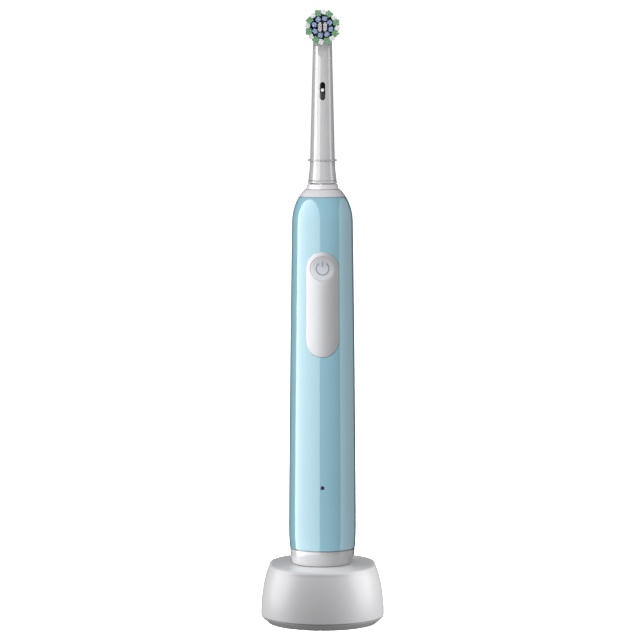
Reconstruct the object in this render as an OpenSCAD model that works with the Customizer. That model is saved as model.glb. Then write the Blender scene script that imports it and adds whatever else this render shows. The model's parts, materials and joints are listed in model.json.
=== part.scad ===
// Electric toothbrush standing on its inductive charger.
// Origin: centre of the charger's underside. +Z is up, the button and the bristles face -Y.
// The drive: motor, pinion and crank gear, connecting rod, rocker and shaft, then the head's rod,
// whose bent tip swings the bristle carrier about its axle.

/* [Charger] */
// Width of the charger at its widest line
charger_w = 52.6; // [46:0.1:64]
// Depth of the charger, front to back
charger_d = 63.2; // [54:0.1:76]
// Height of the charger's top face
charger_h = 24.6; // [22:0.1:30]
// Wall of the charger's housing
charger_wall = 2; // [1.6:0.1:2.6]
// Height of the grey base plate's edge
base_h = 3.2; // [2.6:0.1:4]
// Radius of the charging peg
peg_r = 5.4; // [4.8:0.1:6.6]
// Height of the charging peg above the charger's top face
peg_h = 14.2; // [11.5:0.1:17.5]
// Wall of the charging peg
peg_wall = 1.2; // [0.8:0.1:1.6]
// Radius of the hole for the cord
cord_r = 1.7; // [1.4:0.1:2.1]

/* [Handle] */
// Radius of the handle at its widest
handle_r = 14.4; // [14:0.1:17.5]
// Height of the handle from its widest line to the shoulder
body_h = 129.2; // [127:0.1:158]
// Narrowing of the handle from its widest line to the shoulder
body_taper = 1.45; // [0:0.05:2]
// Wall of the handle's housing
handle_wall = 1.5; // [1.2:0.1:1.8]
// Height of the grey bottom cap's visible ring
cap_h = 6.8; // [5.6:0.1:8.2]
// Height of the shoulder's dome, if it closed at the axis
dome_h = 17.55; // [16:0.05:20]
// Height of the white collar
collar_h = 3.1; // [2.6:0.1:3.6]
// Height of the spout above the collar
spout_h = 2.15; // [1.8:0.05:3]

/* [Button and light] */
// Width of the soft oblong pad
pad_w = 14; // [13:0.1:17]
// Length of the pad
pad_h = 44.8; // [36:0.1:56]
// Height of the button's centre below the shoulder
button_drop = 18.7; // [14:0.1:22]
// Radius of the button
button_r = 5.15; // [4.5:0.05:6.2]
// Travel of the button
button_travel = 0.4; // [0.2:0.05:0.5]
// Radius of the light pipe
light_r = 0.85; // [0.6:0.05:1.2]

/* [Battery and motor] */
// Diameter of the battery cell
battery_d = 14; // [10:0.1:14.4]
// Length of the battery cell
battery_len = 50; // [40:0.5:50]
// Radius of the motor's can
motor_r = 7.6; // [7:0.1:9]
// Length of the motor's can
motor_len = 24; // [20:0.5:25]
// Radius of the motor's shaft
motor_shaft_r = 0.75; // [0.5:0.05:0.9]

/* [Drive] */
// Module of the two gears
gear_module = 0.35; // [0.3:0.01:0.42]
// Teeth on the motor's pinion
pinion_teeth = 10; // [9:1:12]
// Teeth on the crank gear
crank_teeth = 20; // [18:1:24]
// Throw of the crank pin
crank_throw = 0.8; // [0.5:0.05:1]
// Radius of the rocker, from the shaft's axis to its pin
rocker_r = 3.2; // [2.6:0.05:4]
// Radius of the drive shaft
shaft_r = 1.95; // [1.6:0.05:2.4]
// Thickness of the connecting rod
rod_t = 1.5; // [1.2:0.1:1.8]

/* [Brush head] */
// Length of the neck, from its foot to the bristle carrier's axle
neck_len = 64.8; // [54:0.1:78]
// Radius of the neck at its upper end
neck_top_r = 4.05; // [3.9:0.05:5]
// Radius of the cup that holds the bristle carrier
cup_r = 6.1; // [6:0.05:7.4]
// Radius of the bristle carrier
carrier_r = 6.2; // [6:0.05:7.5]
// Length of the outer tufts
tuft_len = 7; // [5.5:0.1:8.5]
// Diameter of one tuft
tuft_d = 1.7; // [1.3:0.05:2]
// Lean of the tufts to one side
tuft_lean = 14; // [0:1:18]

/* [Clearances] */
// Gap under the docked handle
dock_gap = 0.1; // [0.05:0.05:0.3]
// Gap between the spout and the brush head
head_gap = 0.25; // [0.15:0.05:0.5]
// Gap around the peg in the charging well
well_gap = 0.4; // [0.3:0.05:0.8]
// Radial clearance of a running fit
run_gap = 0.05; // [0.03:0.01:0.08]
// Clearance of a part that slots into its neighbour
slip = 0.1; // [0.05:0.01:0.2]
// Gap between moving parts that pass each other
pass_gap = 0.2; // [0.15:0.05:0.4]

/* [Hidden] */
$fn = 64;
fine = 96;
coarse = 32;
eps = 0.01;
big = 400;

// ---- Charger ----
half_w = charger_w / 2;
straight = (charger_d - charger_w) / 2;
bulge_z = 5;
side_arc_r = 50;
rim_r = 1.6;
top_t = 2;
base_inset = 3.2;
base_t = 2.2;
lip_h = 2;
lip_t = 1.5;
foot_rim_w = 3;
foot_recess = 0.8;
board_t = 1.6;
board_z = base_h + 1.8;
post_r = 2;
post_x = 15;
post_y = 12;
flange_t = 1;
bobbin_z = board_z + board_t;
bobbin_top = charger_h - top_t - 1;
bobbin_flange_r = 10;
ferrite_r = 3;
bobbin_bore = ferrite_r + slip;
bobbin_wall = 0.8;
peg_top = charger_h + peg_h;
peg_edge_r = 0.8;
gland_z = 10.6;
gland_r = cord_r + 1.3;
gland_collar_r = gland_r + 0.9;
gland_inset = 0.9;
part_x = 13;
part_y = straight + 10.5;

// ---- Handle, from the bottom upwards ----
handle_z = charger_h + dock_gap;
housing_z = handle_z + cap_h;
seam = 0.1;
waist_h = 16.6;
waist_z = handle_z + waist_h;
foot_drop = 1.45;
foot_edge_r = 0.9;
dome_z = waist_z + body_h;
collar_z = dome_z + 11.35;
spout_z = collar_z + collar_h;
spout_top = spout_z + spout_h;
spout_top_r = 6.4;
spout_bottom_r = 6.9;

cap_floor = 2.4;
spigot_h = 5;
spigot_t = 1.7;
seal_r = 0.75;
seal_z = housing_z + 2.4;
well_r = peg_r + well_gap;
well_t = 1.2;
well_top = peg_top + 1.4;
former_r = well_r + well_t + slip;
former_t = 0.5;
former_gap = 0.6;
former_flange_r = skin_r(housing_z) - handle_wall - slip - spigot_t - former_gap;
former_flange_t = 0.8;
former_z = handle_z + cap_floor;
former_top = well_top - 1.4;

// Chassis and what it holds
chassis_r = body_r(dome_z) - handle_wall - slip;
chassis_t = 1;
bulkhead_t = 2;
chassis_z = well_top + well_t + 1;
battery_r = battery_d / 2;
battery_z = chassis_z + bulkhead_t + 3;
battery_top = battery_z + battery_len;
cradle_t = 1.5;
tab_t = 0.3;
tab_w = 4;
mid_z = battery_top + 3;
end_cap_z = mid_z + bulkhead_t + 1.8;
end_cap_t = 2.7;
can_z = end_cap_z + end_cap_t;
can_top = can_z + motor_len;
can_t = 0.6;
motor_flat = motor_r - 1.8;
motor_boss_r = 2.6;
motor_boss_h = 1.4;
magnet_t = 1.5;
armature_r = motor_flat - can_t - 0.7;
screw_x = 4.6;
screw_r = 0.8;
screw_head_r = 1.5;
screw_head_t = 1;
plate_top = can_top + bulkhead_t;

// Gear train and linkage
centre_y = gear_module * (pinion_teeth + crank_teeth) / 2;
gear_z = plate_top + 2.3;
gear_t = 3;
axle_r = 0.8;
axle_top = gear_z + 2.2;
crank_pin_r = 0.5;
crank_pin_top = gear_z + gear_t + 1.8;
rod_z = crank_pin_top + pass_gap;
rocker_angle = acos(rocker_r / centre_y);
rocker_pin = rocker_r * [sin(rocker_angle), cos(rocker_angle)];
crank_pin = [0, centre_y] + crank_throw * [sin(rocker_angle), cos(rocker_angle)];
rocker_pin_r = 0.6;
eye_wall = 0.7;
rocker_z = rod_z + rod_t + pass_gap;
rocker_t = 2.4;
rocker_hub_r = shaft_r + 1.1;

// Shaft and its carrier
plate_z = rocker_z + rocker_t + 0.5;
plate_t = 2.4;
bush_t = 1.1;
bush_len = 4;
tube_bore = shaft_r + run_gap + bush_t;
tube_r = tube_bore + 1.1;
tube_top = collar_z - 2;
carrier_post_x = 8.3;
carrier_post_y = 1.5;
carrier_post_r = 1.6;
carrier_screw_r = 0.7;
spout_spigot_r = tube_r + slip + 1;
collar_spigot_r = dome_r(collar_z, handle_wall) - slip;
collar_spigot_h = 4.5;
seal_len = 3;
shaft_hole = shaft_r + 0.35;

// Pad, button, board and light
button_z = dome_z - button_drop;
pad_top = button_z + 7.1;
pad_proud = 0.3;
button_gap = 0.15;
button_inset = 0.12;
button_skin = skin_r(button_z) + pad_proud - button_inset;
button_t = 1.75;
button_back = button_skin - button_t;
dish_r = 26;
dish_depth = 0.5;
icon_t = 0.3;
icon_ring_r = 2.65;
icon_stroke = 0.5;
icon_gap_angle = 70;
plunger_r = 0.9;
plunger_out = button_travel + 0.2;
switch_h = 1.4;
switch_w = 4.5;
switch_front = button_back - 0.05 - plunger_out;
pcb_t = 1;
pcb_front = switch_front - switch_h;
pcb_back = pcb_front - pcb_t;
pcb_side = sqrt(pow(chassis_r, 2) - pow(pcb_front, 2)) - 0.3;
pcb_z = battery_z + 6;
pcb_top = button_z + 8;
light_z = pcb_z + 5.3;
led_t = 0.7;
led_w = 1.6;
light_flange_r = light_r + 0.55;
light_flange_t = 0.6;

// ---- Brush head ----
head_z = spout_top + head_gap;
head_cap_h = 1.25;
head_cap_r = 6.25;
neck_z = head_z + head_cap_h;
disc_z = neck_z + neck_len;
neck_bottom_r = neck_top_r + 1.4;
flare = 0.6;
flare_h = 10.4;
taper_len = neck_len - 8.8;
coupler_r = shaft_r + 1.65;
coupler_bore = coupler_r + 0.4;
coupler_z = neck_z + pass_gap;
shaft_top = neck_z + 16.4;
coupler_top = shaft_top + 4;
flat_z = neck_z + 1.4;
shaft_flat = 1.3;
head_spigot_r = coupler_bore + 0.65;
head_spigot_h = 2.6;
ring_z = neck_z + 8.6;
ring_t = 0.5;
ring_r = 6.1;
ring_depth = 0.35;
neck_bore = 2.6;
neck_wide_h = coupler_top + 1 - neck_z;
bush_z = neck_z + neck_len - 13.4;
rod_r = 0.9;
rod_tip_r = 0.8;
rod_tip_pin_r = 0.55;
tip_drop = 2.6;
tip_reach = 3.9;
cup_front = 3.2;
cup_back = 4;
cup_wall = 1.1;
cup_edge_r = 1.2;
disc_axle_r = 0.75;
carrier_back = cup_front + pass_gap;
carrier_t = 2.8;
carrier_gap = 0.3;
carrier_front = carrier_back + carrier_t;
axle_reach = carrier_front - 0.8;
slot_w = rod_tip_r + slip;
inlay_z = disc_z - 26.95;
inlay_w = 2.3;
inlay_h = 7.7;
inlay_t = 0.5;
white_ring_r = carrier_r - tuft_d / 2 - 0.25;
green_ring_r = white_ring_r - 0.25;
green_start = 42;
white_start = 20;
blue_start = 2;
tuft_flare = 9;
blue_flare = 2;
blue_ring_r = 3.2;
blue_len = tuft_len - 0.4;
centre_x = 1.1;
centre_w = 1.3;
centre_h = 3.4;
ring_count = 8;

// ---- Profiles ----

// Radius of the handle's skin below its widest line
function foot_r(z) = handle_r - foot_drop * pow(1 - (z - handle_z) / waist_h, 2.5);

// Radius of the handle's skin between its widest line and the shoulder
function body_r(z) = handle_r - body_taper * pow((z - waist_z) / body_h, 1.35);

// Radius of the shoulder's dome, or of the surface a wall's thickness inside it
function dome_r(z, inset = 0) =
    (handle_r - body_taper - inset) * sqrt(1 - pow((z - dome_z) / (dome_h - inset), 2));

// Radius of the handle's skin, or of a surface inside or outside it, at any height
function skin_r(z, inset = 0) =
    z < waist_z ? foot_r(z) - inset : z < dome_z ? body_r(z) - inset : dome_r(z, inset);

// Heights at which the handle's curve is sampled
function skin_stations() = concat(
    [for (i = [1:5]) handle_z + waist_h * i / 5],
    [for (i = [1:9]) waist_z + body_h * i / 9],
    [for (a = [12:6:66]) dome_z + dome_h * sin(a)]
);

// Points of the handle's curve from z0 up to z1
function skin_line(z0, z1, inset = 0) = [
    for (z = concat(z0, [for (s = skin_stations()) if (s > z0 + 0.3 && s < z1 - 0.3) s], z1))
        [skin_r(z, inset), z]
];

function reversed(points) = [for (i = [len(points) - 1:-1:0]) points[i]];

// Radius of the brush head's neck
function neck_r(z) =
    neck_top_r + (neck_bottom_r - neck_top_r) * (1 - (z - neck_z) / taper_len)
    + flare * pow(max(0, 1 - (z - neck_z) / flare_h), 2);

// Half-width of the charger's side wall
function side_r(z) = half_w - side_arc_r + sqrt(pow(side_arc_r, 2) - pow(z - bulge_z, 2));

// A quarter round from the side at angle 0 to the top at angle 90
function round_edge(centre, r) = [for (a = [0:22.5:90]) centre + r * [cos(a), sin(a)]];

// Wall of the charger from z0 up to the top face, a given distance inside the skin
function charger_line(z0, inset) = let (top = charger_h - inset, r = max(rim_r - inset, 0.3)) concat(
    [for (i = [0:6]) let (z = z0 + (top - r - z0) * i / 6) [side_r(z) - inset, z]],
    round_edge([side_r(top - r) - inset - r, top - r], r)
);

function polar(r, a) = r * [cos(a), sin(a)];

// One tooth, from its root on one side over its tip to its root on the other
function tooth(teeth, i) = let (
    pitch = gear_module * teeth / 2,
    tip = pitch + 0.85 * gear_module,
    root = pitch - 1.15 * gear_module,
    half = 90 / teeth - 0.03 * 180 / PI / pitch,
    a = 360 * i / teeth
) [
    polar(root, a - 1.45 * half), polar(pitch, a - half), polar(tip, a - 0.42 * half),
    polar(tip, a + 0.42 * half), polar(pitch, a + half), polar(root, a + 1.45 * half)
];

// ---- Shared shapes ----

// Solid of revolution from an open line of points, closed on the axis
module turned(line) {
    rotate_extrude()
        polygon(concat([[0, line[0][1]]], line, [[0, line[len(line) - 1][1]]]));
}

// Hollow ring between two radii
module tube(r_out, r_in, z0, z1) {
    translate([0, 0, z0])
        difference() {
            cylinder(r = r_out, h = z1 - z0);
            translate([0, 0, -eps]) cylinder(r = r_in, h = z1 - z0 + 2 * eps);
        }
}

// Cylinder between two heights
module rod(r, z0, z1) {
    translate([0, 0, z0]) cylinder(r = r, h = z1 - z0);
}

// Cylinder that points to the front, from depth y0 to depth y1 in front of the axis
module front_rod(r, z, y0, y1) {
    translate([0, -y0, z]) rotate([90, 0, 0]) cylinder(r = r, h = y1 - y0);
}

// Block centred in x, from depth y0 to depth y1 in front of the axis
module front_block(w, h, z, y0, y1) {
    translate([-w / 2, -y1, z - h / 2]) cube([w, y1 - y0, h]);
}

// Handle's wall between two heights
module skin_shell(z0, z1, wall) {
    rotate_extrude()
        polygon(concat(skin_line(z0, z1), reversed(skin_line(z0, z1, wall))));
}

// Upright shape with round ends, pushed through the front of the handle or neck
module front_oblong(w, h, z, y0, y1) {
    translate([0, -y0, z])
        rotate([90, 0, 0])
            linear_extrude(y1 - y0)
                union() {
                    square([w, h - w], center = true);
                    for (s = [-1, 1]) translate([0, s * (h - w) / 2]) circle(d = w);
                }
}

// Section drawn in x and z, carried round the charger's outline with its straight sides
module around_charger(points) {
    for (s = [0, 1])
        mirror([0, s, 0])
            translate([0, straight, 0])
                rotate_extrude(angle = 180, $fn = fine) polygon(points);
    for (s = [0, 1])
        mirror([s, 0, 0])
            rotate([90, 0, 0])
                linear_extrude(2 * straight, center = true) polygon(points);
}

// Solid inside a line of points carried round the charger's outline
module charger_solid(line) {
    around_charger(concat([[0, line[0][1]]], line, [[0, line[len(line) - 1][1]]]));
}

// Flat plate with the charger's outline
module charger_plate(r, z0, z1) {
    charger_solid([[r, z0], [r, z1]]);
}

// Disc across the handle, cut off where the circuit board stands
module bulkhead(z0, t) {
    intersection() {
        rod(chassis_r, z0, z0 + t);
        translate([-big / 2, -pcb_back, z0 - 1]) cube([big, big, t + 2]);
    }
}

module gear(teeth, t) {
    linear_extrude(t) polygon([for (i = [0:teeth - 1]) each tooth(teeth, i)]);
}

// Screw pointing down, with its head on the surface at height z
module screw(r, head_r, z, depth) {
    rod(r, z - depth, z);
    difference() {
        rod(head_r, z, z + screw_head_t);
        translate([-head_r, -0.2, z + screw_head_t / 2]) cube([2 * head_r, 0.4, screw_head_t]);
    }
}

// ---- Charger parts ----

module charger_housing() {
    color("whitesmoke")
        difference() {
            union() {
                charger_solid(charger_line(base_h, 0));
                peg_skin();
            }
            charger_solid(concat([[side_r(base_h) - charger_wall, base_h - 1]],
                                 charger_line(base_h, charger_wall)));
            rod(peg_r - peg_wall, charger_h - top_t - 1, peg_top - peg_wall);
            translate([0, 0, gland_z]) rotate([-90, 0, 0]) cylinder(r = gland_r, h = charger_d);
        }
}

module peg_skin() {
    turned(concat([[peg_r, charger_h - 1]], round_edge([peg_r - peg_edge_r, peg_top - peg_edge_r],
                                                      peg_edge_r)));
}

module charger_base_plate() {
    color("silver")
        difference() {
            union() {
                charger_solid([[half_w - base_inset, 0], [side_r(base_h) - 0.9, base_h - 1.2],
                               [side_r(base_h), base_h - seam]]);
                charger_plate(side_r(base_h) - charger_wall - slip, base_t, base_h + lip_h);
            }
            charger_plate(side_r(base_h) - charger_wall - slip - lip_t, base_t, base_h + lip_h + 1);
            charger_plate(half_w - base_inset - foot_rim_w, -1, foot_recess);
        }
    color("silver")
        for (x = [-post_x, post_x], y = [-post_y, post_y])
            translate([x, y, 0]) rod(post_r, base_t, board_z);
}

module charger_pcb() {
    color("peru") charger_plate(side_r(base_h) - charger_wall - lip_t - 1.2, board_z, board_z + board_t);
}

module coil_bobbin() {
    color("dimgray")
        difference() {
            union() {
                rod(bobbin_bore + bobbin_wall, bobbin_z, bobbin_top);
                rod(bobbin_flange_r, bobbin_z, bobbin_z + flange_t);
                rod(bobbin_flange_r, bobbin_top - flange_t, bobbin_top);
            }
            rod(bobbin_bore, bobbin_z - 1, bobbin_top + 1);
        }
}

module primary_coil() {
    color("chocolate")
        tube(bobbin_flange_r - 0.8, bobbin_bore + bobbin_wall, bobbin_z + flange_t,
             bobbin_top - flange_t);
}

module ferrite_rod() {
    color("darkslategray") rod(ferrite_r, bobbin_z, peg_top - peg_wall - 0.3);
}

module charger_electrolytic() {
    color("navy") translate([-part_x, part_y, 0]) rod(5, board_z + board_t, board_z + board_t + 12);
}

module charger_film_capacitor() {
    color("goldenrod")
        translate([part_x - 7, part_y - 5, board_z + board_t]) cube([12, 7, 9]);
}

// The oscillator's transistor and the rectifier's four diodes
module charger_semiconductors() {
    color("black")
        translate([-part_x, -part_y, board_z + board_t])
            intersection() {
                cylinder(r = 2.4, h = 4.6);
                translate([-3, -1.3, 0]) cube([6, 6, 5]);
            }
    color("black")
        for (i = [0:3])
            translate([part_x - 6 + 4 * i, -part_y, board_z + board_t + 1.3])
                rotate([90, 0, 0]) cylinder(r = 1.3, h = 5, center = true, $fn = coarse);
}

module fuse_resistor() {
    color("steelblue")
        translate([0, -straight - 17, board_z + board_t + 1.5])
            rotate([0, 90, 0]) cylinder(r = 1.5, h = 9, center = true, $fn = coarse);
}

module cord_gland() {
    outer_y = charger_d / 2 - gland_inset;
    inner_y = charger_d / 2 - charger_wall - 3;
    color("gray")
        translate([0, 0, gland_z])
            rotate([-90, 0, 0])
                difference() {
                    union() {
                        translate([0, 0, inner_y]) cylinder(r = gland_r, h = outer_y - inner_y);
                        translate([0, 0, inner_y]) cylinder(r = gland_collar_r, h = 1.4);
                    }
                    translate([0, 0, inner_y - 1]) cylinder(r = cord_r, h = charger_wall + 5);
                }
}

// ---- Handle parts that do not move in it ----

module handle_housing() {
    color("paleturquoise")
        difference() {
            skin_shell(housing_z, collar_z - seam, handle_wall);
            front_oblong(pad_w, pad_h, pad_top - pad_h / 2, 0, big);
            front_rod(light_r, light_z, 0, big);
        }
}

module bottom_cap() {
    spigot_r = skin_r(housing_z) - handle_wall - slip;
    color("silver")
        difference() {
            union() {
                turned(concat(
                    [for (a = [-90:22.5:0]) [foot_r(handle_z) - foot_edge_r, handle_z + foot_edge_r]
                                            + foot_edge_r * [cos(a), sin(a)]],
                    [for (z = [handle_z + 2.5, housing_z - 2, housing_z - seam]) [skin_r(z), z]]
                ));
                rod(spigot_r, housing_z - 1, housing_z + spigot_h);
            }
            tube(spigot_r - spigot_t, well_r + well_t, handle_z + cap_floor, big);
            rod(well_r + well_t + eps, well_top + well_t, big);
            rod(well_r, handle_z - 1, well_top);
            tube(big, spigot_r - 2 * seal_r + slip, seal_z - seal_r - 0.1, seal_z + seal_r + 0.1);
        }
    color("silver") tube(well_r + well_t, well_r, housing_z, well_top);
    color("silver") rod(well_r + well_t, well_top, well_top + well_t);
}

module bottom_seal() {
    color("black")
        translate([0, 0, seal_z])
            rotate_extrude()
                translate([skin_r(housing_z) - handle_wall - seal_r, 0]) circle(r = seal_r, $fn = coarse);
}

module neck_collar() {
    color("white")
        difference() {
            union() {
                turned(skin_line(collar_z, spout_z - seam));
                rod(collar_spigot_r, collar_z - collar_spigot_h, collar_z + eps);
            }
            rod(collar_spigot_r - 1.4, collar_z - collar_spigot_h - 1, collar_z);
            rod(spout_spigot_r, collar_z - 1, spout_z + 1);
        }
}

module neck_spout() {
    color("white")
        difference() {
            union() {
                turned([[spout_bottom_r, spout_z], [spout_top_r + 0.15, spout_top - 0.3],
                        [spout_top_r - 0.15, spout_top]]);
                rod(spout_spigot_r, tube_top - 4, spout_z + eps);
            }
            rod(tube_r + slip, tube_top - 5, tube_top);
            rod(tube_r - 0.6, tube_top - eps, tube_top + seal_len);
            rod(shaft_hole, tube_top, spout_top + 1);
        }
}

module shaft_seal() {
    color("dimgray") tube(tube_r - 0.6, shaft_r + run_gap, tube_top + 0.2, tube_top + seal_len);
}

module control_panel() {
    z0 = pad_top - pad_h - 2;
    z1 = pad_top + 2;
    color("lightgray")
        difference() {
            intersection() {
                turned(skin_line(z0, z1, -pad_proud));
                front_oblong(pad_w, pad_h, pad_top - pad_h / 2, 0, big);
            }
            turned(skin_line(z0, z1, handle_wall));
            front_rod(button_r + button_gap, button_z, 0, big);
        }
}

module coil_former() {
    color("dimgray")
        difference() {
            union() {
                rod(former_r + former_t, former_z, former_top);
                rod(former_flange_r, former_z, former_z + former_flange_t);
                rod(former_flange_r, former_top - former_flange_t, former_top);
            }
            rod(former_r, former_z - 1, former_top + 1);
        }
}

module secondary_coil() {
    color("chocolate")
        tube(former_flange_r - 0.5, former_r + former_t, former_z + former_flange_t,
             former_top - former_flange_t);
}

module chassis() {
    color("gainsboro")
        difference() {
            union() {
                difference() {
                    tube(chassis_r, chassis_r - chassis_t, chassis_z, plate_z);
                    translate([-big / 2, -big, 0]) cube([big, big - 2, big]);
                }
                bulkhead(chassis_z, bulkhead_t);
                for (z = [0.2, 0.8]) bulkhead(battery_z + battery_len * z, cradle_t);
                bulkhead(mid_z, bulkhead_t);
                bulkhead(can_top, bulkhead_t);
                for (s = [-1, 1])
                    translate([s * carrier_post_x, carrier_post_y, 0])
                        rod(carrier_post_r, can_top + 1, plate_z);
            }
            rod(battery_r + slip, battery_z, battery_top);
            rod(motor_boss_r + slip, can_top - 1, plate_top + 1);
            translate([0, centre_y, 0]) rod(axle_r, can_top - 1, plate_top + 1);
            for (s = [-1, 1]) {
                translate([s * screw_x, 0, 0]) rod(screw_r + slip, can_top - 1, plate_top + 1);
                translate([s * carrier_post_x, carrier_post_y, 0])
                    rod(carrier_screw_r, plate_top + 1, plate_z + 1);
            }
        }
}

module battery() {
    color("mediumseagreen") rod(battery_r, battery_z, battery_top - 1);
    color("silver") rod(battery_r * 0.4, battery_top - 1, battery_top);
}

// Nickel strips welded to the cell's ends and folded forwards to the board
module battery_tabs() {
    color("silver") {
        front_block(tab_w, tab_t, battery_top + tab_t / 2, -1, pcb_back);
        front_block(tab_w, tab_t, battery_z - tab_t / 2, -1, pcb_back);
        front_block(tab_w, 6 + tab_t, battery_z - tab_t + (6 + tab_t) / 2, pcb_back, pcb_back + tab_t);
    }
}

// Outline of the motor's can with its two flats
module motor_outline(inset) {
    intersection() {
        circle(r = motor_r - inset);
        square([big, 2 * (motor_flat - inset)], center = true);
    }
}

module motor_can() {
    color("lightsteelblue")
        difference() {
            union() {
                translate([0, 0, can_z]) linear_extrude(motor_len) motor_outline(0);
                rod(motor_boss_r, can_top - 1, can_top + motor_boss_h);
            }
            translate([0, 0, can_z - 1]) linear_extrude(motor_len - can_t + 1) motor_outline(can_t);
            rod(motor_boss_r - can_t, can_top - 2, can_top + motor_boss_h + 1);
            for (s = [-1, 1]) translate([s * screw_x, 0, 0]) rod(screw_r, can_top - 2, can_top + 1);
        }
}

module motor_end_cap() {
    color("ivory")
        difference() {
            translate([0, 0, end_cap_z]) linear_extrude(end_cap_t) motor_outline(0);
            rod(motor_boss_r - can_t, end_cap_z - 1, can_z + 1);
            for (s = [-1, 1]) translate([s * 5, 0, end_cap_z - 1]) motor_terminal(end_cap_t + 1);
        }
}

module motor_terminal(h) {
    translate([-0.25, -1, 0]) cube([0.5, 2, h]);
}

module motor_terminals() {
    color("gold")
        for (s = [-1, 1]) translate([s * 5, 0, end_cap_z - 1.2]) motor_terminal(end_cap_t);
}

module motor_magnets() {
    r_out = motor_r - can_t - slip;
    color("dimgray")
        difference() {
            translate([0, 0, can_z + 2])
                linear_extrude(motor_len - 5)
                    intersection() {
                        difference() {
                            circle(r = r_out);
                            circle(r = r_out - magnet_t);
                        }
                        square([big, 2 * (motor_flat - can_t - slip)], center = true);
                    }
            translate([-3, -big / 2, 0]) cube([6, big, big]);
        }
}

module motor_bushings() {
    color("darkgoldenrod") {
        tube(motor_boss_r - can_t, motor_shaft_r + run_gap, end_cap_z, end_cap_z + end_cap_t);
        tube(motor_boss_r - can_t, motor_shaft_r + run_gap, can_top - can_t, can_top + motor_boss_h);
    }
}

module motor_screws() {
    color("silver")
        for (s = [-1, 1])
            translate([s * screw_x, 0, 0])
                screw(screw_r, screw_head_r, plate_top, bulkhead_t + can_t);
}

module crank_axle() {
    color("silver") translate([0, centre_y, 0]) rod(axle_r, can_top, axle_top);
}

module shaft_carrier() {
    color("slategray")
        difference() {
            union() {
                bulkhead(plate_z, plate_t);
                rod(tube_r, plate_z, tube_top);
            }
            rod(tube_bore, plate_z - 1, tube_top + 1);
            for (s = [-1, 1])
                translate([s * carrier_post_x, carrier_post_y, 0])
                    rod(carrier_screw_r + slip, plate_z - 1, plate_z + plate_t + 1);
        }
}

module carrier_screws() {
    color("silver")
        for (s = [-1, 1])
            translate([s * carrier_post_x, carrier_post_y, 0])
                screw(carrier_screw_r, carrier_post_r - 0.2, plate_z + plate_t, plate_t + 6);
}

module shaft_bushings() {
    color("darkgoldenrod") {
        tube(tube_bore, shaft_r + run_gap, plate_z, plate_z + bush_len);
        tube(tube_bore, shaft_r + run_gap, tube_top - bush_len, tube_top);
    }
}

module handle_pcb() {
    color("seagreen")
        front_block(2 * pcb_side, pcb_top - pcb_z, (pcb_z + pcb_top) / 2, pcb_back, pcb_front);
}

// Charge controller, motor driver, and a row of small parts on the front of the board
module pcb_components() {
    mid = (light_z + button_z) / 2;
    color("black") {
        front_block(5, 5, mid - 20, pcb_front, pcb_front + 0.9);
        front_block(4, 6, mid + 10, pcb_front, pcb_front + 0.9);
    }
    color("tan")
        for (i = [0:4])
            translate([(i % 2) * 3 - 1.5, 0, 0])
                front_block(1.2, 2, mid - 10 + 3.5 * i, pcb_front, pcb_front + 0.6);
}

module tact_switch() {
    color("dimgray")
        difference() {
            front_block(switch_w, switch_w, button_z, pcb_front, switch_front);
            front_rod(plunger_r + run_gap, button_z, pcb_front + 0.2, switch_front + 1);
        }
}

module led() {
    color("limegreen") front_block(led_w, led_w, light_z, pcb_front, pcb_front + led_t);
}

module light_pipe() {
    z_span = 6;
    wall_y = skin_r(light_z) - handle_wall - 0.15;
    color("white") {
        intersection() {
            turned(skin_line(light_z - z_span, light_z + z_span));
            front_rod(light_r, light_z, pcb_front + led_t + 0.1, big);
        }
        front_rod(light_flange_r, light_z, wall_y - light_flange_t, wall_y);
    }
}

// ---- Moving parts of the handle ----

module motor_rotor() {
    color("silver") rod(motor_shaft_r, end_cap_z + 0.2, gear_z + gear_t + 0.3);
    color("peru") tube(armature_r, motor_shaft_r, can_z + 4, can_top - 4);
    color("chocolate") tube(2, motor_shaft_r, can_z + 0.6, can_z + 3.6);
}

module motor_pinion() {
    color("darkgoldenrod")
        difference() {
            translate([0, 0, gear_z - 0.3])
                rotate([0, 0, 90 + 180 / pinion_teeth]) gear(pinion_teeth, gear_t + 0.6);
            rod(motor_shaft_r, gear_z - 1, gear_z + gear_t + 1);
        }
}

module crank_gear() {
    color("ivory")
        difference() {
            union() {
                translate([0, centre_y, gear_z]) rotate([0, 0, -90]) gear(crank_teeth, gear_t);
                translate([crank_pin[0], crank_pin[1], 0]) rod(crank_pin_r, gear_z + gear_t, crank_pin_top);
            }
            translate([0, centre_y, 0]) rod(axle_r + run_gap, gear_z - 1, axle_top + 0.1);
        }
}

module connecting_rod() {
    reach = norm(crank_pin - rocker_pin);
    heading = atan2(crank_pin[1] - rocker_pin[1], crank_pin[0] - rocker_pin[0]);
    small_eye = rocker_pin_r + run_gap;
    large_eye = crank_pin_r + slip;
    color("gainsboro")
        translate([rocker_pin[0], rocker_pin[1], rod_z])
            rotate([0, 0, heading])
                difference() {
                    union() {
                        cylinder(r = small_eye + eye_wall, h = rod_t);
                        translate([reach, 0, 0]) cylinder(r = large_eye + eye_wall, h = rod_t);
                        translate([0, -0.6, 0]) cube([reach, 1.2, rod_t]);
                    }
                    translate([0, 0, -1]) cylinder(r = small_eye, h = rod_t + 2);
                    translate([reach, 0, -1]) cylinder(r = large_eye, h = rod_t + 2);
                }
}

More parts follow.
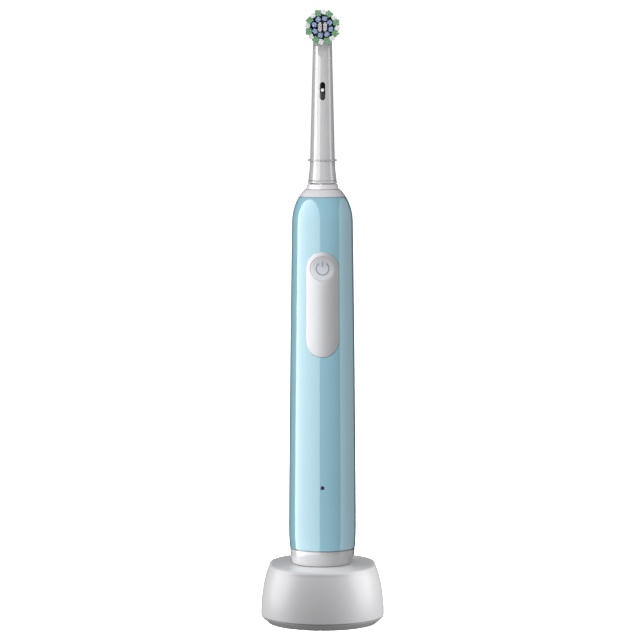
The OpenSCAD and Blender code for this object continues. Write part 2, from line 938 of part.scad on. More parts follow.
module rocker() {
    arm_w = 2 * rocker_pin_r + eye_wall;
    color("lightsteelblue") {
        difference() {
            union() {
                rod(rocker_hub_r, rocker_z, rocker_z + rocker_t);
                translate([rocker_pin[0], rocker_pin[1], 0])
                    rod(rocker_pin_r + eye_wall, rocker_z, rocker_z + rocker_t);
                translate([0, 0, rocker_z])
                    rotate([0, 0, 90 - rocker_angle])
                        translate([0, -arm_w / 2, 0]) cube([rocker_r, arm_w, rocker_t]);
            }
            rod(shaft_r, rocker_z - 1, rocker_z + rocker_t + 1);
        }
        translate([rocker_pin[0], rocker_pin[1], 0]) rod(rocker_pin_r, rod_z, rocker_z);
    }
}

module drive_shaft() {
    color("silver")
        difference() {
            rod(shaft_r, rocker_z, shaft_top);
            translate([shaft_flat, -5, flat_z]) cube([10, 10, big]);
        }
}

module button_disc() {
    intersection() {
        turned(skin_line(button_z - 10, button_z + 10, -(pad_proud - button_inset)));
        front_rod(button_r, button_z, button_back, big, $fn = fine);
    }
}

// Ball whose surface forms the thumb dish
module dish_ball(grow) {
    translate([0, -button_skin - dish_r + dish_depth, button_z]) sphere(r = dish_r + grow, $fn = fine);
}

// Outline of the open ring with an upright bar in its gap
module icon_outline() {
    difference() {
        circle(r = icon_ring_r + icon_stroke / 2);
        circle(r = icon_ring_r - icon_stroke / 2);
        polygon([[0, 0], polar(9, 90 - icon_gap_angle / 2), polar(9, 90 + icon_gap_angle / 2)]);
    }
    translate([-icon_stroke / 2, icon_ring_r * 0.25])
        square([icon_stroke, icon_ring_r * 0.9]);
}

module icon_inlay() {
    intersection() {
        translate([0, -button_back, button_z])
            rotate([90, 0, 0]) linear_extrude(button_t) icon_outline();
        difference() {
            dish_ball(icon_t);
            dish_ball(0);
        }
    }
}

module power_button() {
    color("gainsboro")
        difference() {
            button_disc();
            dish_ball(0);
            icon_inlay();
        }
}

module power_icon() {
    color("cadetblue") icon_inlay();
}

module switch_plunger() {
    color("black") front_rod(plunger_r, button_z, pcb_front + 0.7, switch_front + plunger_out);
}

// ---- Brush head ----

function neck_line(z0, z1) = [
    for (z = concat([for (i = [0:4]) z0 + flare_h * i / 4], neck_z + taper_len * 0.6, z1))
        [neck_r(z), z]
];

module head_neck() {
    neck_end = disc_z - cup_r + 1.5;
    color("whitesmoke")
        difference() {
            union() {
                turned(neck_line(neck_z, neck_end));
                cup_skin();
            }
            rod(head_spigot_r + slip, neck_z - 1, neck_z + head_spigot_h + 0.3);
            rod(coupler_bore, neck_z - 1, neck_z + neck_wide_h);
            rod(neck_bore, neck_z, disc_z);
            translate([0, 0, disc_z])
                rotate([90, 0, 0])
                    translate([0, 0, -(cup_back - cup_wall)]) cylinder(r = cup_r - cup_wall, h = big);
            front_rod(disc_axle_r, disc_z, -(cup_back - cup_wall / 2), 0);
            front_rod(carrier_r + carrier_gap, disc_z, cup_front, big);
            tube(big, neck_r(ring_z) - ring_depth, ring_z - ring_t / 2, ring_z + ring_t / 2);
            neck_inlay_shape();
        }
}

// Outside of the cup, turned about the bristle carrier's axle
module cup_skin() {
    translate([0, 0, disc_z])
        rotate([90, 0, 0])
            turned(concat(
                [for (a = [-90:22.5:0]) [cup_r - cup_edge_r, -cup_back + cup_edge_r]
                                        + cup_edge_r * [cos(a), sin(a)]],
                [[cup_r, cup_front]]
            ));
}

module head_end_cap() {
    color("lightgray")
        difference() {
            union() {
                turned([[head_cap_r - 0.3, head_z], [head_cap_r, head_z + 0.3],
                        [neck_r(neck_z), neck_z - seam]]);
                rod(head_spigot_r, neck_z - 0.5, neck_z + head_spigot_h);
            }
            rod(shaft_hole, head_z - 1, neck_z);
            rod(coupler_bore, neck_z - slip, neck_z + head_spigot_h + 1);
        }
}

module head_id_ring() {
    color("gainsboro")
        tube(ring_r, neck_r(ring_z) - ring_depth, ring_z - ring_t / 2, ring_z + ring_t / 2);
}

module neck_inlay_shape() {
    difference() {
        intersection() {
            turned(neck_line(neck_z, disc_z - cup_r));
            front_oblong(inlay_w, inlay_h, inlay_z, 0, big);
        }
        rod(neck_r(inlay_z) - inlay_t, inlay_z - inlay_h, inlay_z + inlay_h);
    }
}

module neck_inlay() {
    color("black") neck_inlay_shape();
}

module head_coupler() {
    color("white")
        difference() {
            rod(coupler_r, coupler_z, coupler_top);
            rod(shaft_r + run_gap, coupler_z - 1, flat_z + slip);
            intersection() {
                rod(shaft_r + run_gap, coupler_z, shaft_top + 0.4);
                translate([-big + shaft_flat + run_gap, -big / 2, 0]) cube([big, big, big]);
            }
            rod(rod_r, coupler_top - 2.4, coupler_top + 1);
        }
}

// Upright wire with a bent end and a ball tip that works in the carrier's slot
module drive_rod() {
    tip_z = disc_z - tip_drop;
    color("silver") {
        rod(rod_r, coupler_top - 2.4, tip_z);
        translate([0, 0, tip_z]) sphere(r = rod_r);
        front_rod(rod_tip_pin_r, tip_z, 0, tip_reach);
        translate([0, -tip_reach, tip_z]) sphere(r = rod_tip_r);
    }
}

module rod_bush() {
    color("ivory") tube(neck_bore, rod_r + run_gap, bush_z, bush_z + 3);
}

module disc_axle() {
    color("silver") front_rod(disc_axle_r, disc_z, -(cup_back - cup_wall / 2), axle_reach);
}

module bristle_carrier() {
    slot_top = disc_z - tip_drop + 1;
    slot_bottom = disc_z - tip_drop - 1.25;
    color("gainsboro")
        difference() {
            front_rod(carrier_r, disc_z, carrier_back, carrier_front);
            front_rod(disc_axle_r + run_gap, disc_z, carrier_back - 1, axle_reach + 0.1);
            front_block(2 * slot_w, slot_top - slot_bottom, (slot_top + slot_bottom) / 2,
                        carrier_back - 1, tip_reach + rod_tip_r + slip);
        }
}

// One tuft at a clock angle from the top: it stands on the carrier, leans to the side and outwards
module tuft(angle, r, length, lean, out) {
    translate([0, 0, disc_z])
        rotate([0, angle, 0])
            translate([0, -carrier_front, r])
                intersection() {
                    rotate([90, 0, 0])
                        rotate([-out, 0, 0])
                            rotate([0, lean, 0])
                                translate([0, 0, -2]) cylinder(d = tuft_d, h = length * 1.02 + 2, $fn = 16);
                    translate([-5, -length, -5]) cube([10, length, 10]);
                }
}

module tuft_ring(offset, r, length, lean, out) {
    for (k = [0:ring_count - 1]) tuft(offset + 360 * k / ring_count, r, length, lean, out);
}

module green_tufts() {
    color("mediumseagreen") tuft_ring(green_start, green_ring_r, tuft_len, -tuft_lean, tuft_flare);
}

module white_outer_tufts() {
    color("white") tuft_ring(white_start, white_ring_r, tuft_len, -tuft_lean, tuft_flare);
}

module blue_tufts() {
    color("deepskyblue") tuft_ring(blue_start, blue_ring_r, blue_len, tuft_lean / 2, blue_flare);
}

module white_centre_tufts() {
    color("white")
        for (s = [-1, 1])
            translate([s * centre_x, 0, 0])
                front_oblong(centre_w, centre_h, disc_z, carrier_front, carrier_front + blue_len);
}

charger_housing();
charger_base_plate();
charger_pcb();
coil_bobbin();
primary_coil();
ferrite_rod();
charger_electrolytic();
charger_film_capacitor();
charger_semiconductors();
fuse_resistor();
cord_gland();
handle_housing();
bottom_cap();
bottom_seal();
neck_collar();
neck_spout();
shaft_seal();
control_panel();
power_button();
power_icon();
coil_former();
secondary_coil();
chassis();
battery();
battery_tabs();
motor_can();
motor_end_cap();
motor_magnets();
motor_bushings();
motor_terminals();
motor_screws();
motor_rotor();
motor_pinion();
crank_axle();
crank_gear();
connecting_rod();
rocker();
drive_shaft();
shaft_carrier();
carrier_screws();
shaft_bushings();
handle_pcb();
pcb_components();
tact_switch();
switch_plunger();
led();
light_pipe();
head_neck();
head_end_cap();
head_id_ring();
neck_inlay();
head_coupler();
drive_rod();
rod_bush();
disc_axle();
bristle_carrier();
green_tufts();
white_outer_tufts();
blue_tufts();
white_centre_tufts();
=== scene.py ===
"""An electric toothbrush standing on its charger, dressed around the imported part.

Sizes are in millimetres in the classes and turned into metres where a mesh is made.
"""

import json
import logging
import math
import random
from dataclasses import dataclass, field
from enum import Enum
from typing import Callable, Sequence

import bpy
from mathutils import Matrix, Vector

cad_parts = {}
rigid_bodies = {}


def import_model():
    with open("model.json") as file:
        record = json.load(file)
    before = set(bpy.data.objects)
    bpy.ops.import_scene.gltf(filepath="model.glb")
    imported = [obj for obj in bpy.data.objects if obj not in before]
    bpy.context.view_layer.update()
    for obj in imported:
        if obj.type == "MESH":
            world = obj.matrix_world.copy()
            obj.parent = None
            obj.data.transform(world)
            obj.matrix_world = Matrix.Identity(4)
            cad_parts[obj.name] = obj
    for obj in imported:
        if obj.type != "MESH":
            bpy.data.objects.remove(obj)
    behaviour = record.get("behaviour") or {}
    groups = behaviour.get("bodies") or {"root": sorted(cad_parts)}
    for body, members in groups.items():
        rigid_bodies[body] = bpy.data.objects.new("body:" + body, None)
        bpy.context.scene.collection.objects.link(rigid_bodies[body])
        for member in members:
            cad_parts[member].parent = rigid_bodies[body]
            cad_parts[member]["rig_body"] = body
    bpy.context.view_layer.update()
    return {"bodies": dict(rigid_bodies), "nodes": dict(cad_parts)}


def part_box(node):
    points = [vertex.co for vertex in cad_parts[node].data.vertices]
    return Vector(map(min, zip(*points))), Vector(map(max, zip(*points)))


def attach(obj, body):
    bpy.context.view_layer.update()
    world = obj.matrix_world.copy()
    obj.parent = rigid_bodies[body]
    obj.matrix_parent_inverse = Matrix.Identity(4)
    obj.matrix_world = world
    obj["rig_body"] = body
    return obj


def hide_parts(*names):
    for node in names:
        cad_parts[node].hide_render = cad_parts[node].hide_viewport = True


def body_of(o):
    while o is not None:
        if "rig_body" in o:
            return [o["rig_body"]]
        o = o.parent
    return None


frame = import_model()

MM = 0.001
HAIR = 1e-6  # smaller than any real difference
SEAM = 1e-7  # vertices closer than this, in metres, are one
FINE = 192  # facets round a turned piece
CREASE = 32.0  # edges sharper than this, in degrees, stay sharp
QUARTER = math.pi / 2
LOG = logging.getLogger("toothbrush")

Outline = list[tuple[float, float]]
Place = tuple[float, float, float]
Colour = tuple[float, float, float]


# ---- Places that the frame gives ----


class Extent:
    """A plain solid's box in the frame, in millimetres, to a hundredth."""

    def __init__(self, node: str) -> None:
        """Read the box of a solid.

        Args:
            node: The solid's name.
        """
        lowest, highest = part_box(node)
        self.x0, self.y0, self.z0 = (round(v / MM, 2) for v in lowest)
        self.x1, self.y1, self.z1 = (round(v / MM, 2) for v in highest)

    @property
    def middle_z(self) -> float:
        """Return the height of its middle."""
        return round((self.z0 + self.z1) / 2, 2)


SHELL = Extent("charger_housing")
GLAND = Extent("cord_gland")
TUBE = Extent("handle_housing")
CAP = Extent("bottom_cap")
COLLAR = Extent("neck_collar")
SPOUT = Extent("neck_spout")
PANEL = Extent("control_panel")
BUTTON = Extent("power_button")
NECK = Extent("head_neck")
RING = Extent("head_id_ring")
INLAY = Extent("neck_inlay")
CARRIER = Extent("bristle_carrier")
DISC_Z = CARRIER.middle_z
GAP = 0.1  # clearance between fitted pieces


# ---- Bench tools: what every piece is made with ----


def clear_selection() -> None:
    """Leave edit mode and deselect every object."""
    if bpy.context.object and bpy.context.object.mode != "OBJECT":
        bpy.ops.object.mode_set(mode="OBJECT")
    bpy.ops.object.select_all(action="DESELECT")


def activate(piece: bpy.types.Object) -> None:
    """Select one object and make it the active one.

    Args:
        piece: The object to work on next.
    """
    clear_selection()
    piece.select_set(True)
    bpy.context.view_layer.objects.active = piece


def christen(name: str) -> bpy.types.Object:
    """Name the object just added, and its mesh.

    Args:
        name: The piece's name.

    Returns:
        The named object.
    """
    piece = bpy.context.object
    piece.name = name
    piece.data.name = name
    return piece


def close_up(piece: bpy.types.Object, fill: bool = False, angle: float = CREASE) -> None:
    """Merge seams and poles, turn the faces outwards and shade the piece.

    Args:
        piece: The mesh object.
        fill: Whether open ends are filled.
        angle: Edges sharper than this many degrees stay sharp.
    """
    activate(piece)
    bpy.ops.object.mode_set(mode="EDIT")
    bpy.ops.mesh.select_all(action="SELECT")
    bpy.ops.mesh.remove_doubles(threshold=SEAM)
    if fill:
        bpy.ops.mesh.fill_holes(sides=0)
    bpy.ops.mesh.select_all(action="SELECT")
    bpy.ops.mesh.normals_make_consistent(inside=False)
    bpy.ops.object.mode_set(mode="OBJECT")
    bpy.ops.object.shade_smooth_by_angle(angle=math.radians(angle))


def turn(name: str, outline: Outline, steps: int = FINE, angle: float = CREASE) -> bpy.types.Object:
    """Turn an outline about the upright axis, as on a lathe.

    Args:
        name: The piece's name.
        outline: Radius and height of each point, in millimetres.
        steps: How many facets go round.
        angle: Edges sharper than this many degrees stay sharp.

    Returns:
        The turned piece.
    """
    clear_selection()
    lead = math.pi / steps
    points = [Vector((r * math.cos(lead), r * math.sin(lead), z)) * MM for r, z in outline]
    bpy.ops.mesh.primitive_plane_add(size=MM)
    piece = christen(name)
    bpy.ops.object.mode_set(mode="EDIT")
    bpy.ops.mesh.select_all(action="SELECT")
    bpy.ops.mesh.merge(type="CENTER")
    bpy.ops.transform.translate(value=points[0])
    for before, after in zip(points, points[1:]):
        bpy.ops.mesh.extrude_vertices_move(TRANSFORM_OT_translate={"value": after - before})
    bpy.ops.mesh.select_all(action="SELECT")
    bpy.ops.mesh.spin(steps=steps, angle=math.tau, center=(0, 0, 0), axis=(0, 0, 1))
    bpy.ops.object.mode_set(mode="OBJECT")
    close_up(piece, angle=angle)
    return piece


def sheet(
    name: str,
    around: int,
    rows: int,
    place: Callable[[int, int], Sequence[float]],
    fill: bool = False,
    angle: float = CREASE,
) -> bpy.types.Object:
    """Lay a grid over a surface that a formula gives.

    Args:
        name: The piece's name.
        around: Faces in each row; the last column meets the first where the formula closes.
        rows: Rows of vertices.
        place: Gives a vertex's place in millimetres from its column and row.
        fill: Whether open ends are filled.
        angle: Edges sharper than this many degrees stay sharp.

    Returns:
        The finished sheet, with its seams merged.
    """
    clear_selection()
    bpy.ops.mesh.primitive_grid_add(x_subdivisions=around, y_subdivisions=rows - 1, size=1)
    piece = christen(name)
    for index, vertex in enumerate(piece.data.vertices):
        vertex.co = Vector(place(index % (around + 1), index // (around + 1))) * MM
    close_up(piece, fill=fill, angle=angle)
    return piece


def oblong_bar(name: str, width: float, height: float, z: float, y0: float, y1: float) -> bpy.types.Object:
    """Make a bar with round ends that runs from front to back.

    Args:
        name: The bar's name.
        width: Its width, which is also the diameter of its ends.
        height: Its whole height.
        z: Height of its middle.
        y0: Where its front end is.
        y1: Where its back end is.

    Returns:
        The bar.
    """
    clear_selection()
    bpy.ops.mesh.primitive_cylinder_add(
        vertices=96,
        radius=width / 2 * MM,
        depth=(y1 - y0) * MM,
        location=(0, (y0 + y1) / 2 * MM, z * MM),
        rotation=(QUARTER, 0, 0),
    )
    bar = christen(name)
    bpy.ops.object.transform_apply(location=True, rotation=True, scale=True)
    reach = (height - width) / 2 * MM
    slide(bar, lambda p: p.z > z * MM + HAIR, (0, 0, reach))
    slide(bar, lambda p: p.z < z * MM - HAIR, (0, 0, -reach))
    return bar


def slide(piece: bpy.types.Object, test: Callable[[Vector], bool], by: Sequence[float]) -> None:
    """Move the vertices that pass a test.

    Args:
        piece: The mesh object.
        test: Takes a vertex's place in metres and says whether it moves.
        by: How far they move, in metres.
    """
    activate(piece)
    bpy.context.tool_settings.mesh_select_mode = (True, False, False)
    bpy.ops.object.mode_set(mode="EDIT")
    bpy.ops.mesh.select_all(action="DESELECT")
    bpy.ops.object.mode_set(mode="OBJECT")
    for vertex in piece.data.vertices:
        vertex.select = test(vertex.co)
    bpy.ops.object.mode_set(mode="EDIT")
    bpy.ops.transform.translate(value=by)
    bpy.ops.object.mode_set(mode="OBJECT")


def lay_down(piece: bpy.types.Object, z: float, forward: bool = True) -> None:
    """Lay a turned piece down so that its axis runs along the depth.

    Args:
        piece: A piece turned about the upright axis from height zero.
        z: Height of its axis afterwards, in millimetres.
        forward: Whether its top end points to the front or to the back.
    """
    quarter = Matrix.Rotation(QUARTER if forward else -QUARTER, 4, "X")
    piece.data.transform(Matrix.Translation((0, 0, z * MM)) @ quarter)


def carve(piece: bpy.types.Object, cutter: bpy.types.Object, angle: float = CREASE) -> None:
    """Take another solid's shape out of a piece, and use that solid up.

    Args:
        piece: The piece that is cut.
        cutter: The solid that cuts it.
        angle: Edges sharper than this many degrees stay sharp.
    """
    activate(piece)
    tool = piece.modifiers.new("carve", "BOOLEAN")
    tool.object = cutter
    tool.operation = "DIFFERENCE"
    tool.solver = "EXACT"
    bpy.ops.object.modifier_apply(modifier=tool.name)
    bpy.data.objects.remove(cutter, do_unlink=True)
    bpy.ops.object.shade_smooth_by_angle(angle=math.radians(angle))


def soften(corners: Sequence[tuple[float, float, float]], steps: int = 6) -> Outline:
    """Round the corners of an open outline.

    Args:
        corners: Radius, height and fillet radius of each corner; zero keeps it sharp.
        steps: Points on each fillet.

    Returns:
        The outline with an arc in place of each rounded corner.
    """
    points: Outline = []
    for index, (r, z, fillet) in enumerate(corners):
        if fillet <= 0 or index in (0, len(corners) - 1):
            points.append((r, z))
            continue
        here = Vector((r, z))
        back = (Vector(corners[index - 1][:2]) - here).normalized()
        ahead = (Vector(corners[index + 1][:2]) - here).normalized()
        half = back.angle(ahead) / 2
        reach = fillet / math.tan(half)
        start, end = here + back * reach, here + ahead * reach
        centre = here + (back + ahead).normalized() * (fillet / math.sin(half))
        for step in range(steps + 1):
            ray = (start - centre).lerp(end - centre, step / steps).normalized()
            points.append(tuple(centre + ray * fillet))
    return points


def spread(low: float, high: float, count: int) -> list[float]:
    """Return evenly spaced values from low to high, ends included."""
    return [low + (high - low) * i / (count - 1) for i in range(count)]


def ease(value: float, low: float, high: float) -> float:
    """Return 0 below low, 1 above high and a smooth rise between."""
    t = min(1.0, max(0.0, (value - low) / (high - low)))
    return t * t * (3 - 2 * t)


def blend_max(a: float, b: float, width: float) -> float:
    """Return the larger of two values, with the corner between them rounded."""
    h = max(0.0, 1 - abs(a - b) / width)
    return max(a, b) + h * h * width / 4


def dress(piece: bpy.types.Object, finish: bpy.types.Material) -> None:
    """Give a piece one finish in place of what it had."""
    piece.data.materials.clear()
    piece.data.materials.append(finish)


def enlist(piece: bpy.types.Object, finish: bpy.types.Material, body: str, slot: str, *nodes: str) -> None:
    """Dress a piece, and the plain solids that it stands for, and tie it to the frame.

    Args:
        piece: The finished mesh object.
        finish: Its material.
        body: The body that it moves with.
        slot: The record's material slot that it stands for. It is not used.
        *nodes: The plain solids that it takes the place of.
    """
    for solid in (piece, *(frame["nodes"][node] for node in nodes)):
        dress(solid, finish)
    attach(piece, body)
    if nodes:
        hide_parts(*nodes)
    LOG.info("%s: %d faces, rides on %s", piece.name, len(piece.data.polygons), body)


# ---- Finishes ----


class Recipe:
    """A material in the making, with its surface shader and object coordinates at hand."""

    def __init__(self, name: str) -> None:
        """Start an empty material.

        Args:
            name: The material's name.
        """
        self.material = bpy.data.materials.new(name)
        self.material.use_nodes = True
        self.tree = self.material.node_tree
        self.shader = self.tree.nodes["Principled BSDF"]
        self.place = self.add("ShaderNodeTexCoord").outputs["Object"]

    def add(self, kind: str, **settings: object) -> bpy.types.Node:
        """Add a node.

        Args:
            kind: The node's type.
            **settings: Properties set on it.

        Returns:
            The new node.
        """
        node = self.tree.nodes.new(kind)
        for key, value in settings.items():
            setattr(node, key, value)
        return node

    def join(self, source: bpy.types.NodeSocket, target: bpy.types.NodeSocket) -> None:
        """Link one socket to another."""
        self.tree.links.new(source, target)

    def noise(self, size_mm: float, detail: float = 2.0, stretch: Place = (1, 1, 1)) -> bpy.types.NodeSocket:
        """Add noise of a real size.

        Args:
            size_mm: The size of its blotches, in millimetres.
            detail: How many finer layers it has.
            stretch: How much finer it is along each axis.

        Returns:
            Its value, about 0.5 on average.
        """
        mapping = self.add("ShaderNodeMapping")
        mapping.inputs["Scale"].default_value = stretch
        texture = self.add("ShaderNodeTexNoise")
        texture.inputs["Scale"].default_value = 1 / (size_mm * MM)
        texture.inputs["Detail"].default_value = detail
        self.join(self.place, mapping.inputs["Vector"])
        self.join(mapping.outputs["Vector"], texture.inputs["Vector"])
        return texture.outputs["Fac"]

    def spread(
        self, source: bpy.types.NodeSocket, low: float, high: float, start: float = 0.3, end: float = 0.7
    ) -> bpy.types.NodeSocket:
        """Carry a value from one range to another.

        Args:
            source: The value.
            low: The result at the start of its range.
            high: The result at the end of its range.
            start: Start of the value's range.
            end: End of the value's range.

        Returns:
            The carried value.
        """
        node = self.add("ShaderNodeMapRange")
        for socket, value in zip(("From Min", "From Max", "To Min", "To Max"), (start, end, low, high)):
            node.inputs[socket].default_value = value
        self.join(source, node.inputs["Value"])
        return node.outputs["Result"]

    def tint(self, source: bpy.types.NodeSocket, first: Colour, last: Colour) -> bpy.types.NodeSocket:
        """Blend two colours by a value.

        Args:
            source: 0 gives the first colour and 1 the last.
            first: The first colour.
            last: The last colour.

        Returns:
            The blended colour.
        """
        node = self.add("ShaderNodeMix", data_type="RGBA")
        node.inputs["A"].default_value = (*first, 1)
        node.inputs["B"].default_value = (*last, 1)
        self.join(source, node.inputs["Factor"])
        return node.outputs["Result"]

    def relief(self, source: bpy.types.NodeSocket, depth_mm: float) -> None:
        """Give the surface relief.

        Args:
            source: The height, 0 to 1.
            depth_mm: Its depth, in millimetres.
        """
        bump = self.add("ShaderNodeBump")
        bump.inputs["Distance"].default_value = depth_mm * MM
        self.join(source, bump.inputs["Height"])
        self.join(bump.outputs["Normal"], self.shader.inputs["Normal"])

    def paint(self, colour: bpy.types.NodeSocket, roughness: bpy.types.NodeSocket) -> None:
        """Link the surface's colour and roughness."""
        self.join(colour, self.shader.inputs["Base Color"])
        self.join(roughness, self.shader.inputs["Roughness"])

    def shine(self, strength: float | bpy.types.NodeSocket) -> None:
        """Make the surface give light only, at a strength or at a socket's value.

        Args:
            strength: The light's strength.
        """
        glow = self.add("ShaderNodeEmission")
        if isinstance(strength, float):
            glow.inputs["Strength"].default_value = strength
        else:
            self.join(strength, glow.inputs["Strength"])
        self.join(glow.outputs["Emission"], self.tree.nodes["Material Output"].inputs["Surface"])

    def set(self, **values: float) -> None:
        """Set sockets of the shader, with underscores for the spaces in their names."""
        for key, value in values.items():
            self.shader.inputs[key.replace("_", " ")].default_value = value


def shade(colour: Colour, amount: float) -> Colour:
    """Return a colour made lighter or darker by a factor."""
    return tuple(min(1.0, c * amount) for c in colour)


@dataclass(frozen=True)
class Moulding:
    """Moulded plastic or rubber, with flow mottling, uneven gloss and a fine skin."""

    name: str
    colour: Colour
    roughness: float = 0.2
    coat: float = 0.0
    coat_roughness: float = 0.03
    specular: float = 0.5
    mottle: float = 0.02
    skin_mm: float = 1.2
    relief_mm: float = 0.001
    subsurface: float = 0.0
    subsurface_mm: float = 1.2
    flow_mm: float = 14.0
    uneven: float = 0.15

    def make(self) -> bpy.types.Material:
        """Build the material.

        Returns:
            The plastic.
        """
        recipe = Recipe(self.name)
        flow = recipe.spread(recipe.noise(self.flow_mm), 0, 1)
        skin = recipe.noise(self.skin_mm, 3)
        recipe.paint(
            recipe.tint(flow, shade(self.colour, 1 - self.mottle), shade(self.colour, 1 + self.mottle)),
            recipe.spread(skin, self.roughness * (1 - self.uneven), self.roughness * (1 + self.uneven)),
        )
        recipe.relief(skin, self.relief_mm)
        recipe.set(Specular_IOR_Level=self.specular)
        recipe.set(Coat_Weight=self.coat, Coat_Roughness=self.coat_roughness)
        if self.subsurface:
            recipe.set(Subsurface_Weight=self.subsurface, Subsurface_Scale=self.subsurface_mm * MM)
        return recipe.material


@dataclass(frozen=True)
class Metal:
    """Drawn, turned or plated metal with fine lines along or round it."""

    name: str
    colour: Colour
    roughness: float = 0.25
    lines: tuple[float, float, float] = (1, 1, 12)
    line_mm: float = 0.9
    relief_mm: float = 0.002

    def make(self) -> bpy.types.Material:
        """Build the material.

        Returns:
            The metal.
        """
        recipe = Recipe(self.name)
        lines = recipe.noise(self.line_mm, 4, self.lines)
        recipe.paint(
            recipe.tint(recipe.spread(lines, 0, 1), shade(self.colour, 0.88), shade(self.colour, 1.06)),
            recipe.spread(lines, self.roughness * 0.75, self.roughness * 1.3),
        )
        recipe.relief(lines, self.relief_mm)
        recipe.set(Metallic=1.0)
        return recipe.material


@dataclass(frozen=True)
class Winding:
    """Enamelled wire wound in close turns about the upright axis, with painted shade in the grooves between
    the turns.
    """

    name: str
    colour: Colour
    wire_mm: float = 0.35

    def make(self) -> bpy.types.Material:
        """Build the material.

        Returns:
            The winding.
        """
        recipe = Recipe(self.name)
        wave = recipe.add("ShaderNodeTexWave", wave_type="BANDS", bands_direction="Z", wave_profile="SIN")
        wave.inputs["Scale"].default_value = math.pi / (10 * self.wire_mm * MM)
        recipe.join(recipe.place, wave.inputs["Vector"])
        turns = wave.outputs["Fac"]
        # The colour falls to about a third in the grooves between turns: painted shade.
        recipe.paint(
            recipe.tint(turns, shade(self.colour, 0.35), self.colour),
            recipe.spread(recipe.noise(0.8), 0.25, 0.4),
        )
        recipe.relief(turns, self.wire_mm * 0.4)
        recipe.set(Metallic=0.8, Coat_Weight=0.6, Coat_Roughness=0.1)
        return recipe.material


@dataclass(frozen=True)
class BoardLaminate:
    """Solder-masked circuit board with the ghost of its copper tracks."""

    name: str
    colour: Colour
    track: Colour
    pitch_mm: float = 1.27
    track_mm: float = 0.03

    def make(self) -> bpy.types.Material:
        """Build the material.

        Returns:
            The board.
        """
        recipe = Recipe(self.name)
        cells = recipe.add("ShaderNodeTexVoronoi", distance="MANHATTAN", feature="F1")
        cells.inputs["Scale"].default_value = 1 / (self.pitch_mm * 2 * MM)
        cells.inputs["Randomness"].default_value = 0.6
        recipe.join(recipe.place, cells.inputs["Vector"])
        tracks = recipe.spread(cells.outputs["Distance"], 0, 1, 0.42, 0.5)
        recipe.paint(
            recipe.tint(tracks, self.colour, self.track),
            recipe.spread(recipe.noise(0.5), 0.3, 0.45),
        )
        recipe.relief(tracks, self.track_mm)
        return recipe.material


@dataclass(frozen=True)
class Bristle:
    """Nylon bristles, with painted shade in the depth between the tufts and a painted highlight at the ends.
    """

    name: str
    # Colours along each filament: root and flank are painted shade, the tip colour a painted highlight.
    root: Colour
    flank: Colour
    lit_tip: Colour
    tip_y: float = -12.9
    root_y: float = -6.2
    flank_at: float = 0.84
    tip_at: float = 0.985
    strand_mm: float = 0.22

    def make(self) -> bpy.types.Material:
        """Build the material.

        Returns:
            The nylon.
        """
        recipe = Recipe(self.name)
        axes = recipe.add("ShaderNodeSeparateXYZ")
        recipe.join(recipe.place, axes.inputs["Vector"])
        depth = recipe.spread(axes.outputs["Y"], 0, 1, self.root_y * MM, self.tip_y * MM)
        # Painted shade and highlight: the ramp darkens the filaments towards the carrier, where shade falls
        # between the tufts, and lightens their ends.
        ramp = recipe.add("ShaderNodeValToRGB")
        ramp.color_ramp.elements[0].color = (*self.root, 1)
        ramp.color_ramp.elements[1].position = self.tip_at
        ramp.color_ramp.elements[1].color = (*self.lit_tip, 1)
        middle = ramp.color_ramp.elements.new(self.flank_at)
        middle.color = (*self.flank, 1)
        recipe.join(depth, ramp.inputs["Fac"])
        strands = recipe.spread(recipe.noise(self.strand_mm, 1, (1, 0.1, 1)), 0, 1)
        shading = recipe.add("ShaderNodeMix", data_type="RGBA", blend_type="MULTIPLY")
        shading.inputs["Factor"].default_value = 1.0
        recipe.join(ramp.outputs["Color"], shading.inputs["A"])
        recipe.join(recipe.tint(strands, (0.78, 0.78, 0.78), (1, 1, 1)), shading.inputs["B"])
        recipe.paint(shading.outputs["Result"], recipe.spread(strands, 0.3, 0.45, 0, 1))
        recipe.set(Specular_IOR_Level=0.4)
        return recipe.material


@dataclass(frozen=True)
class Lens:
    """Smoky clear plastic over a small lamp."""

    name: str
    colour: Colour
    clear: float = 0.6

    def make(self) -> bpy.types.Material:
        """Build the material.

        Returns:
            The lens.
        """
        recipe = Recipe(self.name)
        haze = recipe.noise(0.3, 2)
        recipe.paint(
            recipe.tint(haze, self.colour, shade(self.colour, 1.2)),
            recipe.spread(haze, 0.05, 0.12),
        )
        recipe.set(Transmission_Weight=self.clear, IOR=1.49)
        return recipe.material


